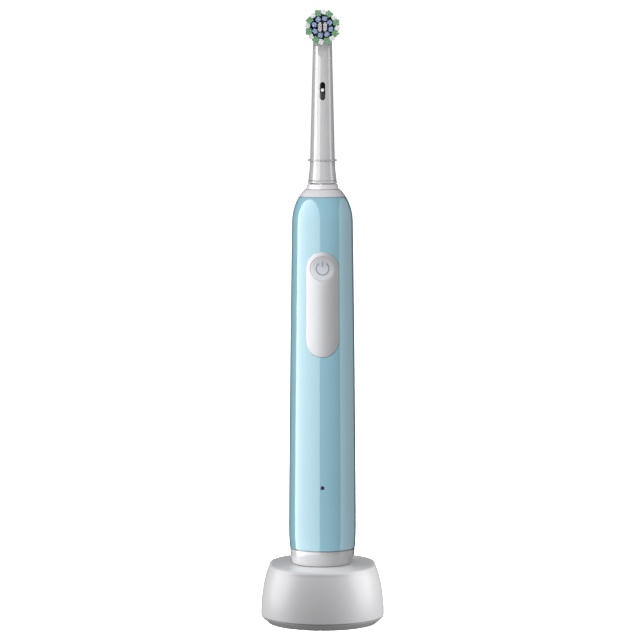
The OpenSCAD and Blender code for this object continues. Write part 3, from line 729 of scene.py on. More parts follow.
FINISHES = (
    Moulding(
        "charger_white", (0.62, 0.62, 0.635), 0.35,
        coat=0.05, coat_roughness=0.2, mottle=0.012, skin_mm=1.6, relief_mm=0.0006,
    ),
    Moulding("base_grey", (0.52, 0.52, 0.525), 0.4, skin_mm=0.4, relief_mm=0.004),
    Moulding(
        "aqua", (0.29, 0.52, 0.613), 0.07,
        coat=1.0, coat_roughness=0.02, mottle=0.012, skin_mm=2.5, relief_mm=0.0002,
    ),
    Moulding(
        "silver_grey", (0.415, 0.412, 0.427), 0.12, coat=0.8, coat_roughness=0.04, specular=0.6, skin_mm=0.8,
    ),
    # Two copies of one white plastic: white_plastic, darker, on the head, and the collar's lighter copy on
    # the collar and spout; the difference between them is painted light and shade.
    Moulding(
        "white_plastic", (0.53, 0.532, 0.55), 0.17,
        coat=0.5, coat_roughness=0.08, mottle=0.012, skin_mm=1.4, relief_mm=0.0002,
    ),
    Moulding(
        "lit_collar_white", (0.7, 0.68, 0.7), 0.2,
        coat=0.5, coat_roughness=0.06, mottle=0.012, skin_mm=1.4, relief_mm=0.0002,
    ),
    Moulding("soft_pad", (0.38, 0.383, 0.4), 0.4, specular=1.0, skin_mm=0.18, relief_mm=0.004),
    Moulding("teal_mark", (0.16, 0.225, 0.265), 0.4, skin_mm=0.3),
    Moulding("grey_plastic", (0.4, 0.405, 0.42), 0.14, coat=0.7, coat_roughness=0.05, skin_mm=0.8),
    Moulding(
        "carrier_white", (0.62, 0.62, 0.64), 0.2, coat=0.4, coat_roughness=0.08, skin_mm=0.5, subsurface=0.1,
    ),
    Moulding("inlay_black", (0.006, 0.006, 0.007), 0.18, coat=0.5, coat_roughness=0.05, skin_mm=0.3),
    Moulding("inlay_dark", (0.03, 0.03, 0.032), 0.35, skin_mm=0.2, relief_mm=0.004),
    Moulding("inlay_bead", (0.8, 0.8, 0.78), 0.3, skin_mm=0.3),
    Moulding("inner_white", (0.68, 0.67, 0.63), 0.35, skin_mm=0.5, relief_mm=0.004),
    Moulding("inner_grey", (0.09, 0.095, 0.1), 0.4, skin_mm=0.5, relief_mm=0.004),
    Moulding("component_black", (0.012, 0.012, 0.013), 0.45, skin_mm=0.2, relief_mm=0.005),
    Moulding("seal_rubber", (0.018, 0.018, 0.019), 0.55, skin_mm=0.3, relief_mm=0.004),
    Moulding("film_brown", (0.42, 0.16, 0.03), 0.3, coat=0.3, skin_mm=1.0),
    Moulding("sleeve_green", (0.05, 0.27, 0.12), 0.25, coat=0.5, skin_mm=1.5),
    Moulding("sleeve_blue", (0.012, 0.02, 0.09), 0.3, coat=0.5, skin_mm=1.5),
    Moulding("lamp_green", (0.35, 0.75, 0.35), 0.3, subsurface=0.2),
    Moulding("ferrite", (0.016, 0.016, 0.018), 0.5, skin_mm=0.25, relief_mm=0.01),
    Metal("steel", (0.56, 0.57, 0.59), 0.22, lines=(1, 1, 14)),
    Metal("pressed_steel", (0.5, 0.51, 0.53), 0.32, lines=(1, 1, 3)),
    Metal("nickel", (0.62, 0.59, 0.52), 0.28, lines=(6, 1, 1)),
    Metal("bronze", (0.5, 0.28, 0.1), 0.3, lines=(1, 1, 8)),
    Winding("copper", (0.62, 0.22, 0.07)),
    BoardLaminate("board", (0.008, 0.075, 0.02), track=(0.03, 0.17, 0.05)),
    Lens("lens", (0.06, 0.1, 0.11)),
    # In each nylon the root and flank colours are painted shade in the depth of the tufts, and the tip colour
    # is a painted highlight on their ends.
    Bristle(
        "green_nylon", root=(0.004, 0.04, 0.01), flank=(0.02, 0.13, 0.04), lit_tip=(0.3, 0.55, 0.33),
        flank_at=0.9,
    ),
    Bristle(
        "blue_nylon", root=(0.006, 0.015, 0.07), flank=(0.04, 0.11, 0.38), lit_tip=(0.5, 0.63, 0.88),
        tip_y=-12.45, flank_at=0.9,
    ),
    Bristle(
        "white_nylon", root=(0.1, 0.1, 0.12), flank=(0.45, 0.45, 0.48), lit_tip=(0.95, 0.95, 0.96),
        flank_at=0.88,
    ),
    Bristle(
        "centre_nylon", root=(0.01, 0.01, 0.03), flank=(0.8, 0.77, 0.82), lit_tip=(0.95, 0.93, 0.96),
        tip_y=-12.45, flank_at=0.8,
    ),
)


class Palette:
    """Every finish of the toothbrush, made on first use and shared."""

    def __init__(self) -> None:
        """Lay the finishes out, with none made yet."""
        self.finishes = {finish.name: finish for finish in FINISHES}
        self.made: dict[str, bpy.types.Material] = {}

    def get(self, name: str) -> bpy.types.Material:
        """Give a finish.

        Args:
            name: The finish's name.

        Returns:
            The material.
        """
        if name not in self.made:
            self.made[name] = self.finishes[name].make()
        return self.made[name]


# ---- Charger ----


@dataclass
class Charger:
    """The low oval charger with the peg that the handle stands on."""

    palette: Palette
    half_width: float = 26.3
    stretch: float = 5.3
    height: float = 24.6
    bulge_z: float = 5.0
    side_arc: float = 50.0
    rim: float = 1.6
    wall: float = 2.0
    seam_z: float = SHELL.z0
    seam_gap: float = 0.4
    seam_lip: float = 0.2
    round_zone: float = 12.0
    peg_r: float = 5.4
    peg_top: float = SHELL.z1
    peg_wall: float = 1.2
    peg_zone: float = 9.5
    foot_inset: float = 3.2
    foot_width: float = 3.0
    floor_z: float = 0.8
    floor_top: float = 2.2
    gland_z: float = GLAND.middle_z
    gland_r: float = 3.0
    gland_drill: float = 20.0
    flange: float = 0.9
    cord_r: float = 1.7
    gland_end: float = GLAND.y1

    def side(self, z: float, inset: float = 0.0) -> float:
        """Return the half-width of the side wall at a height."""
        return self.half_width - self.side_arc + math.sqrt(self.side_arc**2 - (z - self.bulge_z) ** 2) - inset

    def stretched(self, piece: bpy.types.Object) -> bpy.types.Object:
        """Draw a round piece out into the charger's oval, leaving its middle round.

        Args:
            piece: A turned piece.

        Returns:
            The same piece.
        """
        for way in (1, -1):
            slide(
                piece,
                lambda p: p.y * way > 0 and p.xy.length > self.round_zone * MM,
                (0, self.stretch * MM * way, 0),
            )
        return piece

    def flank(self, z0: float, inset: float, count: int) -> Outline:
        """List the points up one side and round the rim.

        Args:
            z0: Height of the first point.
            inset: Distance inside the skin.
            count: Points on the side.

        Returns:
            The points, upwards.
        """
        top, rim = self.height - inset, max(self.rim - inset, 0.3)
        points = [(self.side(z, inset), z) for z in spread(z0, top - rim, count)]
        centre = (self.side(top - rim, inset) - rim, top - rim)
        points += [
            (centre[0] + rim * math.cos(a), centre[1] + rim * math.sin(a))
            for a in spread(0, QUARTER, 11)[1:]
        ]
        return points

    def housing(self) -> bpy.types.Object:
        """Build the top shell with the peg standing on it.

        Returns:
            The shell.
        """
        outside = [(self.side(self.seam_z) - self.seam_lip, self.seam_z)]
        outside += self.flank(self.seam_z + self.seam_lip, 0, 22)
        outside += [(self.peg_zone, self.height)]
        outside += soften(
            [
                (self.peg_zone - 1.5, self.height, 0),
                (self.peg_r, self.height, 0.5),
                (self.peg_r, self.peg_top, 0.8),
                (0.0, self.peg_top, 0),
            ]
        )
        bore, roof = self.peg_r - self.peg_wall, self.peg_top - self.peg_wall
        ceiling = self.height - self.wall
        inside = [(0.0, roof), (bore, roof), (bore, ceiling), (self.peg_zone, ceiling)]
        inside += reversed(self.flank(self.seam_z, self.wall, 10))
        piece = self.stretched(turn("charger_shell", outside + inside + outside[:1]))
        clear_selection()
        bpy.ops.mesh.primitive_cylinder_add(
            vertices=64,
            radius=self.gland_r * MM,
            depth=self.gland_drill * MM,
            location=(0, self.gland_end * MM, self.gland_z * MM),
            rotation=(QUARTER, 0, 0),
        )
        carve(piece, christen("gland_drill"))
        return piece

    def base_plate(self) -> bpy.types.Object:
        """Build the underside with its standing rim and lip.

        Returns:
            The plate.
        """
        foot, side = self.half_width - self.foot_inset, self.side(self.seam_z)
        heel, groove = foot - self.foot_width, side - 0.9
        lip = side - self.wall - GAP
        ledge, crest = self.seam_z - self.seam_gap, self.seam_z + 2
        outline = soften(
            [
                (0.0, self.floor_z, 0),
                (heel, self.floor_z, 0.2),
                (heel, 0.0, 0.25),
                (foot, 0.0, 0.35),
                (groove, self.seam_z - 1.2, 0.4),
                (side - GAP, ledge, 0.05),
                (groove, ledge, 0),
                (groove, self.seam_z - GAP, 0),
                (lip, self.seam_z - GAP, 0),
                (lip, crest, 0.2),
                (lip - 1.5, crest, 0.2),
                (lip - 1.5, self.floor_top, 0.3),
                (0.0, self.floor_top, 0),
            ],
            4,
        )
        return self.stretched(turn("charger_foot", outline))

    def gland(self) -> bpy.types.Object:
        """Build the flanged cord gland in the rear wall.

        Returns:
            The gland.
        """
        end, flange = self.gland_end, self.gland_r + self.flange
        start, neck = end - 4.1, end - 2.7
        corners = [
            (self.cord_r, start, 0),
            (flange, start, 0.15),
            (flange, neck, 0.15),
            (self.gland_r, neck, 0),
            (self.gland_r, end, 0.5),
            (self.cord_r, end, 0.4),
            (self.cord_r, start, 0),
        ]
        piece = turn("gland_sleeve", soften(corners, 5), 64)
        lay_down(piece, self.gland_z, forward=False)
        return piece

    def build(self) -> None:
        """Build and dress the charger."""
        for piece, finish, node in (
            (self.housing(), "charger_white", "charger_housing"),
            (self.base_plate(), "base_grey", "charger_base_plate"),
            (self.gland(), "seal_rubber", "cord_gland"),
        ):
            enlist(piece, self.palette.get(finish), "charger", finish, node)


# ---- Handle ----


@dataclass
class Skin:
    """The handle's smooth outer line."""

    bottom_z: float = CAP.z0
    waist_z: float = 41.3
    dome_z: float = 170.5
    widest: float = TUBE.x1
    foot_drop: float = 1.45
    foot_curve: float = 2.5
    taper: float = 1.45
    taper_curve: float = 1.35
    dome_height: float = 17.55

    def radius(self, z: float, inset: float = 0.0) -> float:
        """Find the skin's radius at a height, or that of a line inside it.

        Args:
            z: The height.
            inset: Distance inside the skin.

        Returns:
            The radius.
        """
        if z < self.waist_z:
            rise = (z - self.bottom_z) / (self.waist_z - self.bottom_z)
            return self.widest - self.foot_drop * (1 - rise) ** self.foot_curve - inset
        if z < self.dome_z:
            rise = (z - self.waist_z) / (self.dome_z - self.waist_z)
            return self.widest - self.taper * rise**self.taper_curve - inset
        rise = (z - self.dome_z) / (self.dome_height - inset)
        return (self.widest - self.taper - inset) * math.sqrt(1 - rise**2)

    def line(self, z0: float, z1: float, inset: float = 0.0, fine: float = 1.0) -> Outline:
        """List points of the line between two heights.

        Args:
            z0: The lowest height.
            z1: The highest height.
            inset: Distance inside the skin.
            fine: How closely they stand; 1 gives a point every 2.4 mm, closer on the dome.

        Returns:
            Radius and height of each point, upwards.
        """
        clear, apart, dome_end = 0.15, 0.01, 1.2
        foot = spread(self.bottom_z, self.waist_z, round(14 * fine))
        body = spread(self.waist_z, self.dome_z, round(54 * fine))
        dome = [self.dome_z + self.dome_height * math.sin(a) for a in spread(0, dome_end, round(36 * fine))]
        heights = [z for z in foot + body + dome if z0 + clear < z < z1 - clear]
        heights = [z for z, after in zip(heights, heights[1:] + [z1]) if after - z > apart]
        return [(self.radius(z, inset), z) for z in [z0] + heights + [z1]]

    def front(self, x: float, z: float, proud: float = 0.0) -> float:
        """Return the depth coordinate of the skin's front at a place across and up."""
        return -math.sqrt((self.radius(z) + proud) ** 2 - x * x)


@dataclass(frozen=True)
class Oblong:
    """An upright outline with round ends."""

    width: float
    height: float
    top: float

    @property
    def middle(self) -> float:
        """Return the height of its middle."""
        return self.top - self.height / 2


PAD = Oblong(width=2 * PANEL.x1, height=PANEL.z1 - PANEL.z0, top=PANEL.z1)


@dataclass
class Handle:
    """The long tapered handle with its cap, collar, spout and lamp."""

    palette: Palette
    skin: Skin = field(default_factory=Skin)
    wall: float = 1.5
    seam_z: float = TUBE.z0
    seam_gap: float = 0.32
    collar_z: float = TUBE.z1 + GAP
    spout_z: float = COLLAR.z1 + GAP
    spout_top: float = SPOUT.z1
    cap_edge: float = 0.5
    well_r: float = 5.8
    well_wall: float = 1.2
    well_top: float = CAP.z1 - 1.2
    collar_bore: float = 5.4
    spout_r: float = SPOUT.x1
    spout_bore: float = 2.3
    seal_r: float = 3.6
    neck_r: float = 4.3
    lamp_z: float = Extent("light_pipe").middle_z
    lamp_r: float = 0.85
    drill_y: float = -30.0

    def housing(self) -> bpy.types.Object:
        """Build the aqua tube with the pad's window and the lamp's hole.

        Returns:
            The tube.
        """
        low, high, edge = self.seam_z, self.collar_z - GAP, 0.2
        outer = self.skin.line(low + edge, high - edge)
        outer = [(self.skin.radius(low, edge), low)] + outer + [(self.skin.radius(high, edge), high)]
        inner = self.skin.line(low, high, self.wall, 0.4)
        piece = turn("handle_tube", outer + inner[::-1] + outer[:1], 256)
        lamp = 2 * self.lamp_r
        carve(piece, oblong_bar("pad_window", PAD.width, PAD.height, PAD.middle, self.drill_y, 0))
        carve(piece, oblong_bar("lamp_drill", lamp, lamp + 0.001, self.lamp_z, self.drill_y, 0))
        return piece

    def foot_cap(self) -> bpy.types.Object:
        """Build the grey cap with the charging well in it.

        Returns:
            The cap.
        """
        bottom, top, edge = self.skin.bottom_z, self.seam_z - GAP, self.cap_edge
        ledge, shoulder = top - self.seam_gap, self.skin.radius(top, 1.0)
        bend = self.skin.radius(bottom) - edge
        outside = [(shoulder, top), (shoulder, ledge), (self.skin.radius(top, 0.1), ledge)]
        outside += self.skin.line(bottom + edge + 0.4, ledge - 0.1, 0, 2.0)[::-1]
        outside += [
            (bend + edge * math.cos(a), bottom + edge - edge * math.sin(a)) for a in spread(0, QUARTER, 10)
        ]
        well = soften(
            [
                (bend, bottom, 0),
                (self.well_r, bottom, 0.6),
                (self.well_r, self.well_top, 0.6),
                (0.0, self.well_top, 0),
            ]
        )
        well_out, well_roof = self.well_r + self.well_wall, self.well_top + self.well_wall
        spigot = self.skin.radius(self.seam_z) - self.wall - GAP
        spigot_in, spigot_top, floor = spigot - 1.7, self.seam_z + 5, bottom + 2.4
        inside = [
            (0.0, well_roof),
            (well_out, well_roof),
            (well_out, floor),
            (spigot_in, floor),
            (spigot_in, spigot_top),
            (spigot, spigot_top),
            (spigot, top),
        ]
        return turn("foot_cap", outside + well[1:] + inside + outside[:1])

    def collar(self) -> bpy.types.Object:
        """Build the white end of the shoulder.

        Returns:
            The collar.
        """
        bottom, top, edge = self.collar_z, self.spout_z - GAP, 0.1
        spigot, spigot_end = self.skin.radius(bottom, self.wall) - GAP, bottom - 4.5
        spigot_in = spigot - 1.4
        outline = [(self.skin.radius(bottom, edge), bottom)]
        outline += self.skin.line(bottom + edge, top - edge, 0, 2.0)
        outline += [
            (self.skin.radius(top, edge), top),
            (self.collar_bore, top),
            (self.collar_bore, bottom - 1),
            (spigot_in, bottom - 1),
            (spigot_in, spigot_end),
            (spigot, spigot_end),
            (spigot, bottom),
        ]
        return turn("shoulder_collar", outline + outline[:1])

    def spout(self) -> bpy.types.Object:
        """Build the small cone that the brush head stands on.

        Returns:
            The spout.
        """
        plug, rim = self.collar_bore - GAP, self.spout_r - 0.65
        seat, step, end = self.spout_z - 2, self.spout_z - 5.1, self.spout_z - 9.1
        outline = soften(
            [
                (plug, self.spout_z, 0),
                (self.spout_r, self.spout_z, 0.12),
                (rim + 0.1, self.spout_top - 0.1, 0.05),
                (rim, self.spout_top, 0.03),
                (self.spout_bore, self.spout_top, 0.2),
                (self.spout_bore, seat, 0),
                (self.seal_r, seat - 0.1, 0),
                (self.seal_r, step, 0),
                (self.neck_r, step, 0),
                (self.neck_r, end, 0),
                (plug, end, 0.2),
                (plug, self.spout_z, 0),
            ]
        )
        return turn("spout_cone", outline)

    def lamp(self) -> bpy.types.Object:
        """Build the smoky lens of the charging lamp.

        Returns:
            The lens, in its hole.
        """
        face, lens, flange = -self.skin.front(0, self.lamp_z), self.lamp_r - 0.05, self.lamp_r + 0.5
        back = face - self.wall - GAP
        outline = soften(
            [
                (0.0, face - 0.06, 0),
                (lens, face - 0.1, 0.12),
                (lens, back, 0),
                (flange, back, 0.1),
                (flange, back - 0.6, 0.1),
                (0.0, back - 0.6, 0),
            ],
            4,
        )
        piece = turn("lamp_lens", outline, 48)
        lay_down(piece, self.lamp_z)
        return piece

    def build(self) -> None:
        """Build and dress the handle's outside."""
        for piece, finish, slot, node in (
            (self.housing(), "aqua", "aqua", "handle_housing"),
            (self.foot_cap(), "silver_grey", "silver_grey", "bottom_cap"),
            # The collar and spout wear the lighter copy of the white plastic: painted light.
            (self.collar(), "lit_collar_white", "white_plastic", "neck_collar"),
            (self.spout(), "lit_collar_white", "white_plastic", "neck_spout"),
            (self.lamp(), "lens", "clear_light", "light_pipe"),
        ):
            enlist(piece, self.palette.get(finish), "handle", slot, node)


# ---- Button pad ----


@dataclass
class ButtonPad:
    """The soft oblong pad, its dished button and the power mark in it."""

    palette: Palette
    skin: Skin = field(default_factory=Skin)
    clearance: float = 0.04
    depth: float = 1.4
    proud: float = 0.3
    edge: float = 0.35
    button_z: float = BUTTON.middle_z
    button_r: float = BUTTON.x1
    hole_r: float = 5.18
    hole_edge: float = 0.15
    button_drop: float = 0.12
    dish_r: float = 5.0
    dish_depth: float = 0.75
    back_y: float = -11.7
    ring_r: float = 2.65
    stroke: float = 0.62
    ring_gap: float = 70.0
    bar_foot: float = 0.25
    bar_length: float = 0.9

    def rim_point(self, share: float, inset: float) -> tuple[float, float]:
        """Find a point on the pad's outline.

        Args:
            share: How far round the outline it is, 0 to 1, from the top.
            inset: Distance inside the outline.

        Returns:
            Its place across and its height.
        """
        r, straight = PAD.width / 2, PAD.height - PAD.width
        high, low = PAD.top - r, PAD.top - PAD.height + r
        half_round = math.pi * r
        along = (share % 1) * (2 * straight + 2 * half_round)
        r_in = r - inset
        if along < half_round / 2:
            a = along / r
            return r_in * math.sin(a), high + r_in * math.cos(a)
        along -= half_round / 2
        if along < straight:
            return r_in, high - along
        along -= straight
        if along < half_round:
            a = along / r
            return r_in * math.cos(a), low - r_in * math.sin(a)
        along -= half_round
        if along < straight:
            return -r_in, low + along
        a = (along - straight) / r
        return -r_in * math.cos(a), high + r_in * math.sin(a)

    def panel(self) -> bpy.types.Object:
        """Build the pad round the button, wrapped on the handle's skin.

        Returns:
            The pad.
        """
        around, bend, field_inset = 264, 6, self.clearance + self.edge
        stations = [(self.clearance, 0.0, -self.depth)]
        for a in spread(0, QUARTER, bend):
            inset = self.clearance + self.edge * (1 - math.cos(a))
            stations.append((inset, 0.0, self.proud - self.edge + self.edge * math.sin(a)))
        stations += [(field_inset, t, self.proud) for t in spread(0.1, 0.9, 9)]
        for a in spread(QUARTER, 0, bend):
            inset = self.hole_edge * (1 - math.cos(a))
            stations.append((inset, 1.0, self.proud - self.hole_edge * (1 - math.sin(a))))
        stations += [(0.0, 1.0, -self.depth), stations[0]]

        def place(column: int, row: int) -> Place:
            """Return the place of a vertex of the pad."""
            inset, share, lift = stations[row]
            x0, z0 = self.rim_point(column / around, inset if share < 1 else field_inset)
            heading = math.atan2(x0, z0 - self.button_z)
            grow = inset if share == 1 else self.hole_edge
            x1 = (self.hole_r + grow) * math.sin(heading)
            z1 = self.button_z + (self.hole_r + grow) * math.cos(heading)
            x, z = x0 + (x1 - x0) * share, z0 + (z1 - z0) * share
            return x, self.skin.front(x, z, lift), z

        return sheet("soft_pad_panel", around, len(stations), place, angle=50)

    def button_front(self, x: float, z: float) -> float:
        """Find the dished button's face at a place across and up.

        Args:
            x: The place across.
            z: Its height.

        Returns:
            The face's depth coordinate.
        """
        away = math.hypot(x, z - self.button_z) / self.dish_r
        dish = self.dish_depth * blend_max(1 - away * away, 0.0, 0.2)
        return self.skin.front(x, z, self.proud - self.button_drop) + dish

    def button(self) -> bpy.types.Object:
        """Build the button with its rounded rim and thumb dish.

        Returns:
            The button.
        """
        around, bend = 144, self.hole_edge
        flat = self.button_r - bend
        rings = [(r, 0.0) for r in spread(0, flat, 26)]
        rings += [(flat + bend * math.sin(a), bend * (1 - math.cos(a))) for a in spread(0, QUARTER, 6)[1:]]

        def place(column: int, row: int) -> Place:
            """Return the place of a vertex of the button."""
            turn_by = math.tau * (column % around) / around
            if row >= len(rings):
                r = self.button_r if row == len(rings) else 0.0
                return r * math.sin(turn_by), self.back_y, self.button_z + r * math.cos(turn_by)
            r, sink = rings[row]
            x, z = r * math.sin(turn_by), self.button_z + r * math.cos(turn_by)
            return x, self.button_front(x, z) + sink, z

        return sheet("thumb_button", around, len(rings) + 2, place, angle=50)

    def ribbon(
        self,
        name: str,
        length: int,
        centre: Callable[[float], tuple[float, float]],
        across: Callable[[float], tuple[float, float]],
    ) -> bpy.types.Object:
        """Build one inlaid stroke of the mark on the button's face.

        Args:
            name: The stroke's name.
            length: Faces along it.
            centre: Gives the middle line across and up from 0 to 1.
            across: Gives the direction across the stroke there.

        Returns:
            The stroke, closed at its ends.
        """
        half, rise, bevel, sunk = self.stroke / 2, 0.02, 0.04, 0.15
        side = [(half - bevel, -rise), (half, 0.0), (half, sunk)]
        loop = [(-offset, sink) for offset, sink in side[::-1]] + [(0.0, -rise * 1.5)] + side
        loop.append(loop[0])

        def place(column: int, row: int) -> Place:
            """Return the place of a vertex of the stroke."""
            share = column / length
            (x, z), (dx, dz), (offset, sink) = centre(share), across(share), loop[row]
            x, z = x + dx * offset, z + dz * offset
            return x, self.button_front(x, z) + sink, z

        return sheet(name, length, len(loop), place, fill=True, angle=50)

    def power_mark(self) -> bpy.types.Object:
        """Build the open ring and upright bar.

        Returns:
            Both strokes as one piece.
        """
        opening = math.radians(self.ring_gap / 2)

        def heading(share: float) -> float:
            """Return the angle from the top at a share of the ring."""
            return opening + (math.tau - 2 * opening) * share

        def outwards(share: float) -> tuple[float, float]:
            """Return the direction out from the ring's middle at a share of it."""
            return math.sin(heading(share)), math.cos(heading(share))

        def on_ring(share: float) -> tuple[float, float]:
            """Return the place on the ring at a share of it."""
            x, z = outwards(share)
            return self.ring_r * x, self.button_z + self.ring_r * z

        def on_bar(share: float) -> tuple[float, float]:
            """Return the place on the upright bar at a share of it."""
            return 0.0, self.button_z + self.ring_r * (self.bar_foot + self.bar_length * share)

        ring = self.ribbon("power_mark", 72, on_ring, outwards)
        bar = self.ribbon("power_bar", 12, on_bar, lambda share: (1.0, 0.0))
        activate(ring)
        bar.select_set(True)
        bpy.ops.object.join()
        return ring

    def build(self) -> None:
        """Build and dress the pad, the button and its mark."""
        for piece, finish, body, node in (
            (self.panel(), "soft_pad", "handle", "control_panel"),
            (self.button(), "soft_pad", "button", "power_button"),
            (self.power_mark(), "teal_mark", "button", "power_icon"),
        ):
            enlist(piece, self.palette.get(finish), body, finish, node)


# ---- Brush head ----


@dataclass
class BrushHead:
    """The pull-off head: hollow neck with its cup, end cap, ring and inlay."""

    palette: Palette
    cap_z: float = Extent("head_end_cap").z0
    neck_z: float = NECK.z0
    foot_edge: float = 0.15
    foot_draw: float = 0.12
    top_r: float = 4.05
    widening: float = 1.4
    taper_height: float = 56.0
    flare: float = 0.6
    flare_height: float = 10.4
    cup_r: float = 6.1
    cup_front: float = 3.2
    cup_back: float = 4.0
    cup_edge: float = 1.2
    cup_blend: float = 1.6
    cup_square: float = 4.5
    swell_from: float = 8.5
    swell_to: float = 3.5
    facet_z: float = 241.2
    facet_y: float = 3.58
    facet_scoop: float = 2.2
    facet_from: float = 7.4
    facet_to: float = 5.6
    socket_r: float = 4.75
    socket_height: float = 2.9
    bore_r: float = 4.0
    bore_top: float = 210.0
    rod_bore: float = 2.6
    shaft_bore: float = 2.3
    cavity_r: float = 5.0
    cavity_back: float = -2.9
    cavity_front: float = 12.0
    ring_z: float = RING.middle_z
    ring_r: float = RING.x1
    ring_half: float = 0.25
    inlay_z: float = INLAY.middle_z
    inlay_width: float = 2.4
    inlay_height: float = INLAY.z1 - INLAY.z0
    inlay_depth: float = 0.45

    def radius(self, z: float) -> float:
        """Find the neck's radius at a height.

        Args:
            z: The height.

        Returns:
            The radius.
        """
        rise = z - self.neck_z
        flare = self.flare * max(0.0, 1 - rise / self.flare_height) ** 2
        return self.top_r + self.widening * (1 - rise / self.taper_height) + flare

    def section(self, z: float) -> tuple[float, float, float, float]:
        """Find the head's section at a height.

        Args:
            z: The height.

        Returns:
            Half-width, depth to the front, depth to the back, and squareness (2 is round).
        """
        neck = self.radius(z) if z < DISC_Z else 0.0
        away = z - DISC_Z
        cup = math.sqrt(max(0.0, self.cup_r**2 - away * away))
        grown = ease(away, -self.swell_from, -self.swell_to)
        width = blend_max(neck * (1 - ease(away, -self.swell_to, 0)), cup, self.cup_blend)
        if away > -1:
            width = cup
        back_drop = max(0.0, abs(away) - (self.cup_r - self.cup_edge)) if away > 0 else 0.0
        back = self.cup_back - self.cup_edge + math.sqrt(max(0.0, self.cup_edge**2 - back_drop**2))
        scoop = min(1.0, max(0.0, (z - self.facet_z) / self.facet_scoop))
        flat = self.facet_y - (self.facet_y - self.cup_front) * ease(away, -self.facet_from, -self.facet_to)
        neck_front = neck - (neck - min(neck, flat)) * math.sqrt(1 - (1 - scoop) ** 2)
        return (
            width,
            neck_front * (1 - grown) + self.cup_front * grown,
            neck * (1 - grown) + back * grown if away < 0 else back,
            2 + self.cup_square * grown,
        )

    def neck(self) -> bpy.types.Object:
        """Build the hollow neck running into the cup.

        Returns:
            The neck.
        """
        around, foot, facet = 168, self.neck_z, self.facet_z
        heights = [foot, foot + self.foot_edge / 5, foot + self.foot_edge]
        heights += spread(foot + 0.4, facet - 0.3, 44)
        heights += spread(facet, facet + 2.4, 25) + spread(facet + 2.6, DISC_Z - 0.2, 40)
        heights += [DISC_Z + self.cup_r * math.sin(a) for a in spread(0, QUARTER, 30)]

        def place(column: int, row: int) -> Place:
            """Return the place of a vertex of the neck."""
            z = heights[row]
            width, front, back, square = self.section(z)
            draw = self.foot_draw * max(0.0, 1 - (z - foot) / self.foot_edge) ** 2
            a = math.tau * (column % around) / around
            c, s = math.cos(a), math.sin(a)
            x = (width - draw) * math.copysign(abs(c) ** (2 / square), c)
            if s < 0 and z < DISC_Z - self.swell_to:
                round_y = (self.radius(z) - draw) * abs(s) ** (2 / square)
                return x, -min(front, round_y), z
            depth = front if s < 0 else back - draw
            return x, math.copysign(depth * abs(s) ** (2 / square), s), z

        piece = sheet("neck_shell", around, len(heights), place, fill=True, angle=28)
        start, socket_top, end = foot - 2, foot + self.socket_height, DISC_Z - 1
        bore = [
            (0, start),
            (self.socket_r, start),
            (self.socket_r, socket_top),
            (self.bore_r, socket_top),
            (self.bore_r, self.bore_top),
            (self.rod_bore, self.bore_top + 1),
            (self.rod_bore, end),
            (0, end),
        ]
        carve(piece, turn("neck_bore", bore, 64), angle=28)
        front, back = self.cavity_front, self.cavity_back
        cavity = turn("cup_bore", [(0, back), (self.cavity_r, back), (self.cavity_r, front), (0, front)], 96)
        lay_down(cavity, DISC_Z)
        carve(piece, cavity, angle=28)
        floor = self.inlay_depth - self.radius(self.inlay_z)
        pocket = oblong_bar("inlay_pocket", self.inlay_width, self.inlay_height, self.inlay_z, -20, floor)
        carve(piece, pocket, angle=28)
        return piece

    def end_cap(self) -> bpy.types.Object:
        """Build the ring that closes the neck's lower end.

        Returns:
            The cap.
        """
        low, high, top = self.cap_z, self.neck_z - GAP, self.neck_z + self.socket_height - 0.3
        plug, rim = self.socket_r - GAP, Extent("head_end_cap").x1
        outline = soften(
            [
                (self.shaft_bore, low, 0),
                (rim - 0.3, low, 0.1),
                (rim, low + 0.3, 0.15),
                (self.radius(self.neck_z), high, 0.12),
                (plug, high, 0),
                (plug, top, 0.15),
                (self.bore_r, top, 0.1),
                (self.bore_r, high, 0),
                (self.shaft_bore, high, 0.2),
                (self.shaft_bore, low, 0),
            ]
        )
        return turn("head_foot", outline)

    def id_ring(self) -> bpy.types.Object:
        """Build the thin identity ring on the neck.

        Returns:
            The ring.
        """
        inner, edge = self.radius(self.ring_z) - 0.3, 0.12
        low, high = self.ring_z - self.ring_half, self.ring_z + self.ring_half
        corners = [
            (inner, low, 0),
            (self.ring_r, low, edge),
            (self.ring_r, high, edge),
            (inner, high, 0),
            (inner, low, 0),
        ]
        return turn("identity_ring", soften(corners, 5))

    def pill(
        self, name: str, width: float, height: float, z: float, lift: float, floor: float
    ) -> bpy.types.Object:
        """Build a round-ended inlay that follows the neck.

        Args:
            name: The piece's name.
            width: Its width.
            height: Its height.
            z: Height of its middle.
            lift: How far its face stands out from the neck's skin.
            floor: Depth of its back below the skin.

        Returns:
            The inlay.
        """
        around, edge = 96, 0.12
        rings = [(share, lift) for share in (0.0, 0.4, 0.8)]
        rings += [
            (1 - edge * (1 - math.sin(a)), lift - edge * (1 - math.cos(a))) for a in spread(0, QUARTER, 4)
        ]
        rings += [(1.0, -floor), (0.0, -floor)]

        def place(column: int, row: int) -> Place:
            """Return the place of a vertex of the inlay."""
            grow, out = rings[row]
            a = math.tau * (column % around) / around
            r = width / 2 * grow
            reach = (height - width) / 2 * grow
            c = math.cos(a)
            x, height_here = r * math.sin(a), z + r * c
            if abs(c) > HAIR:
                height_here += math.copysign(reach, c)
            return x, -math.sqrt((self.radius(height_here) + out) ** 2 - x * x), height_here

        return sheet(name, around, len(rings), place, angle=50)

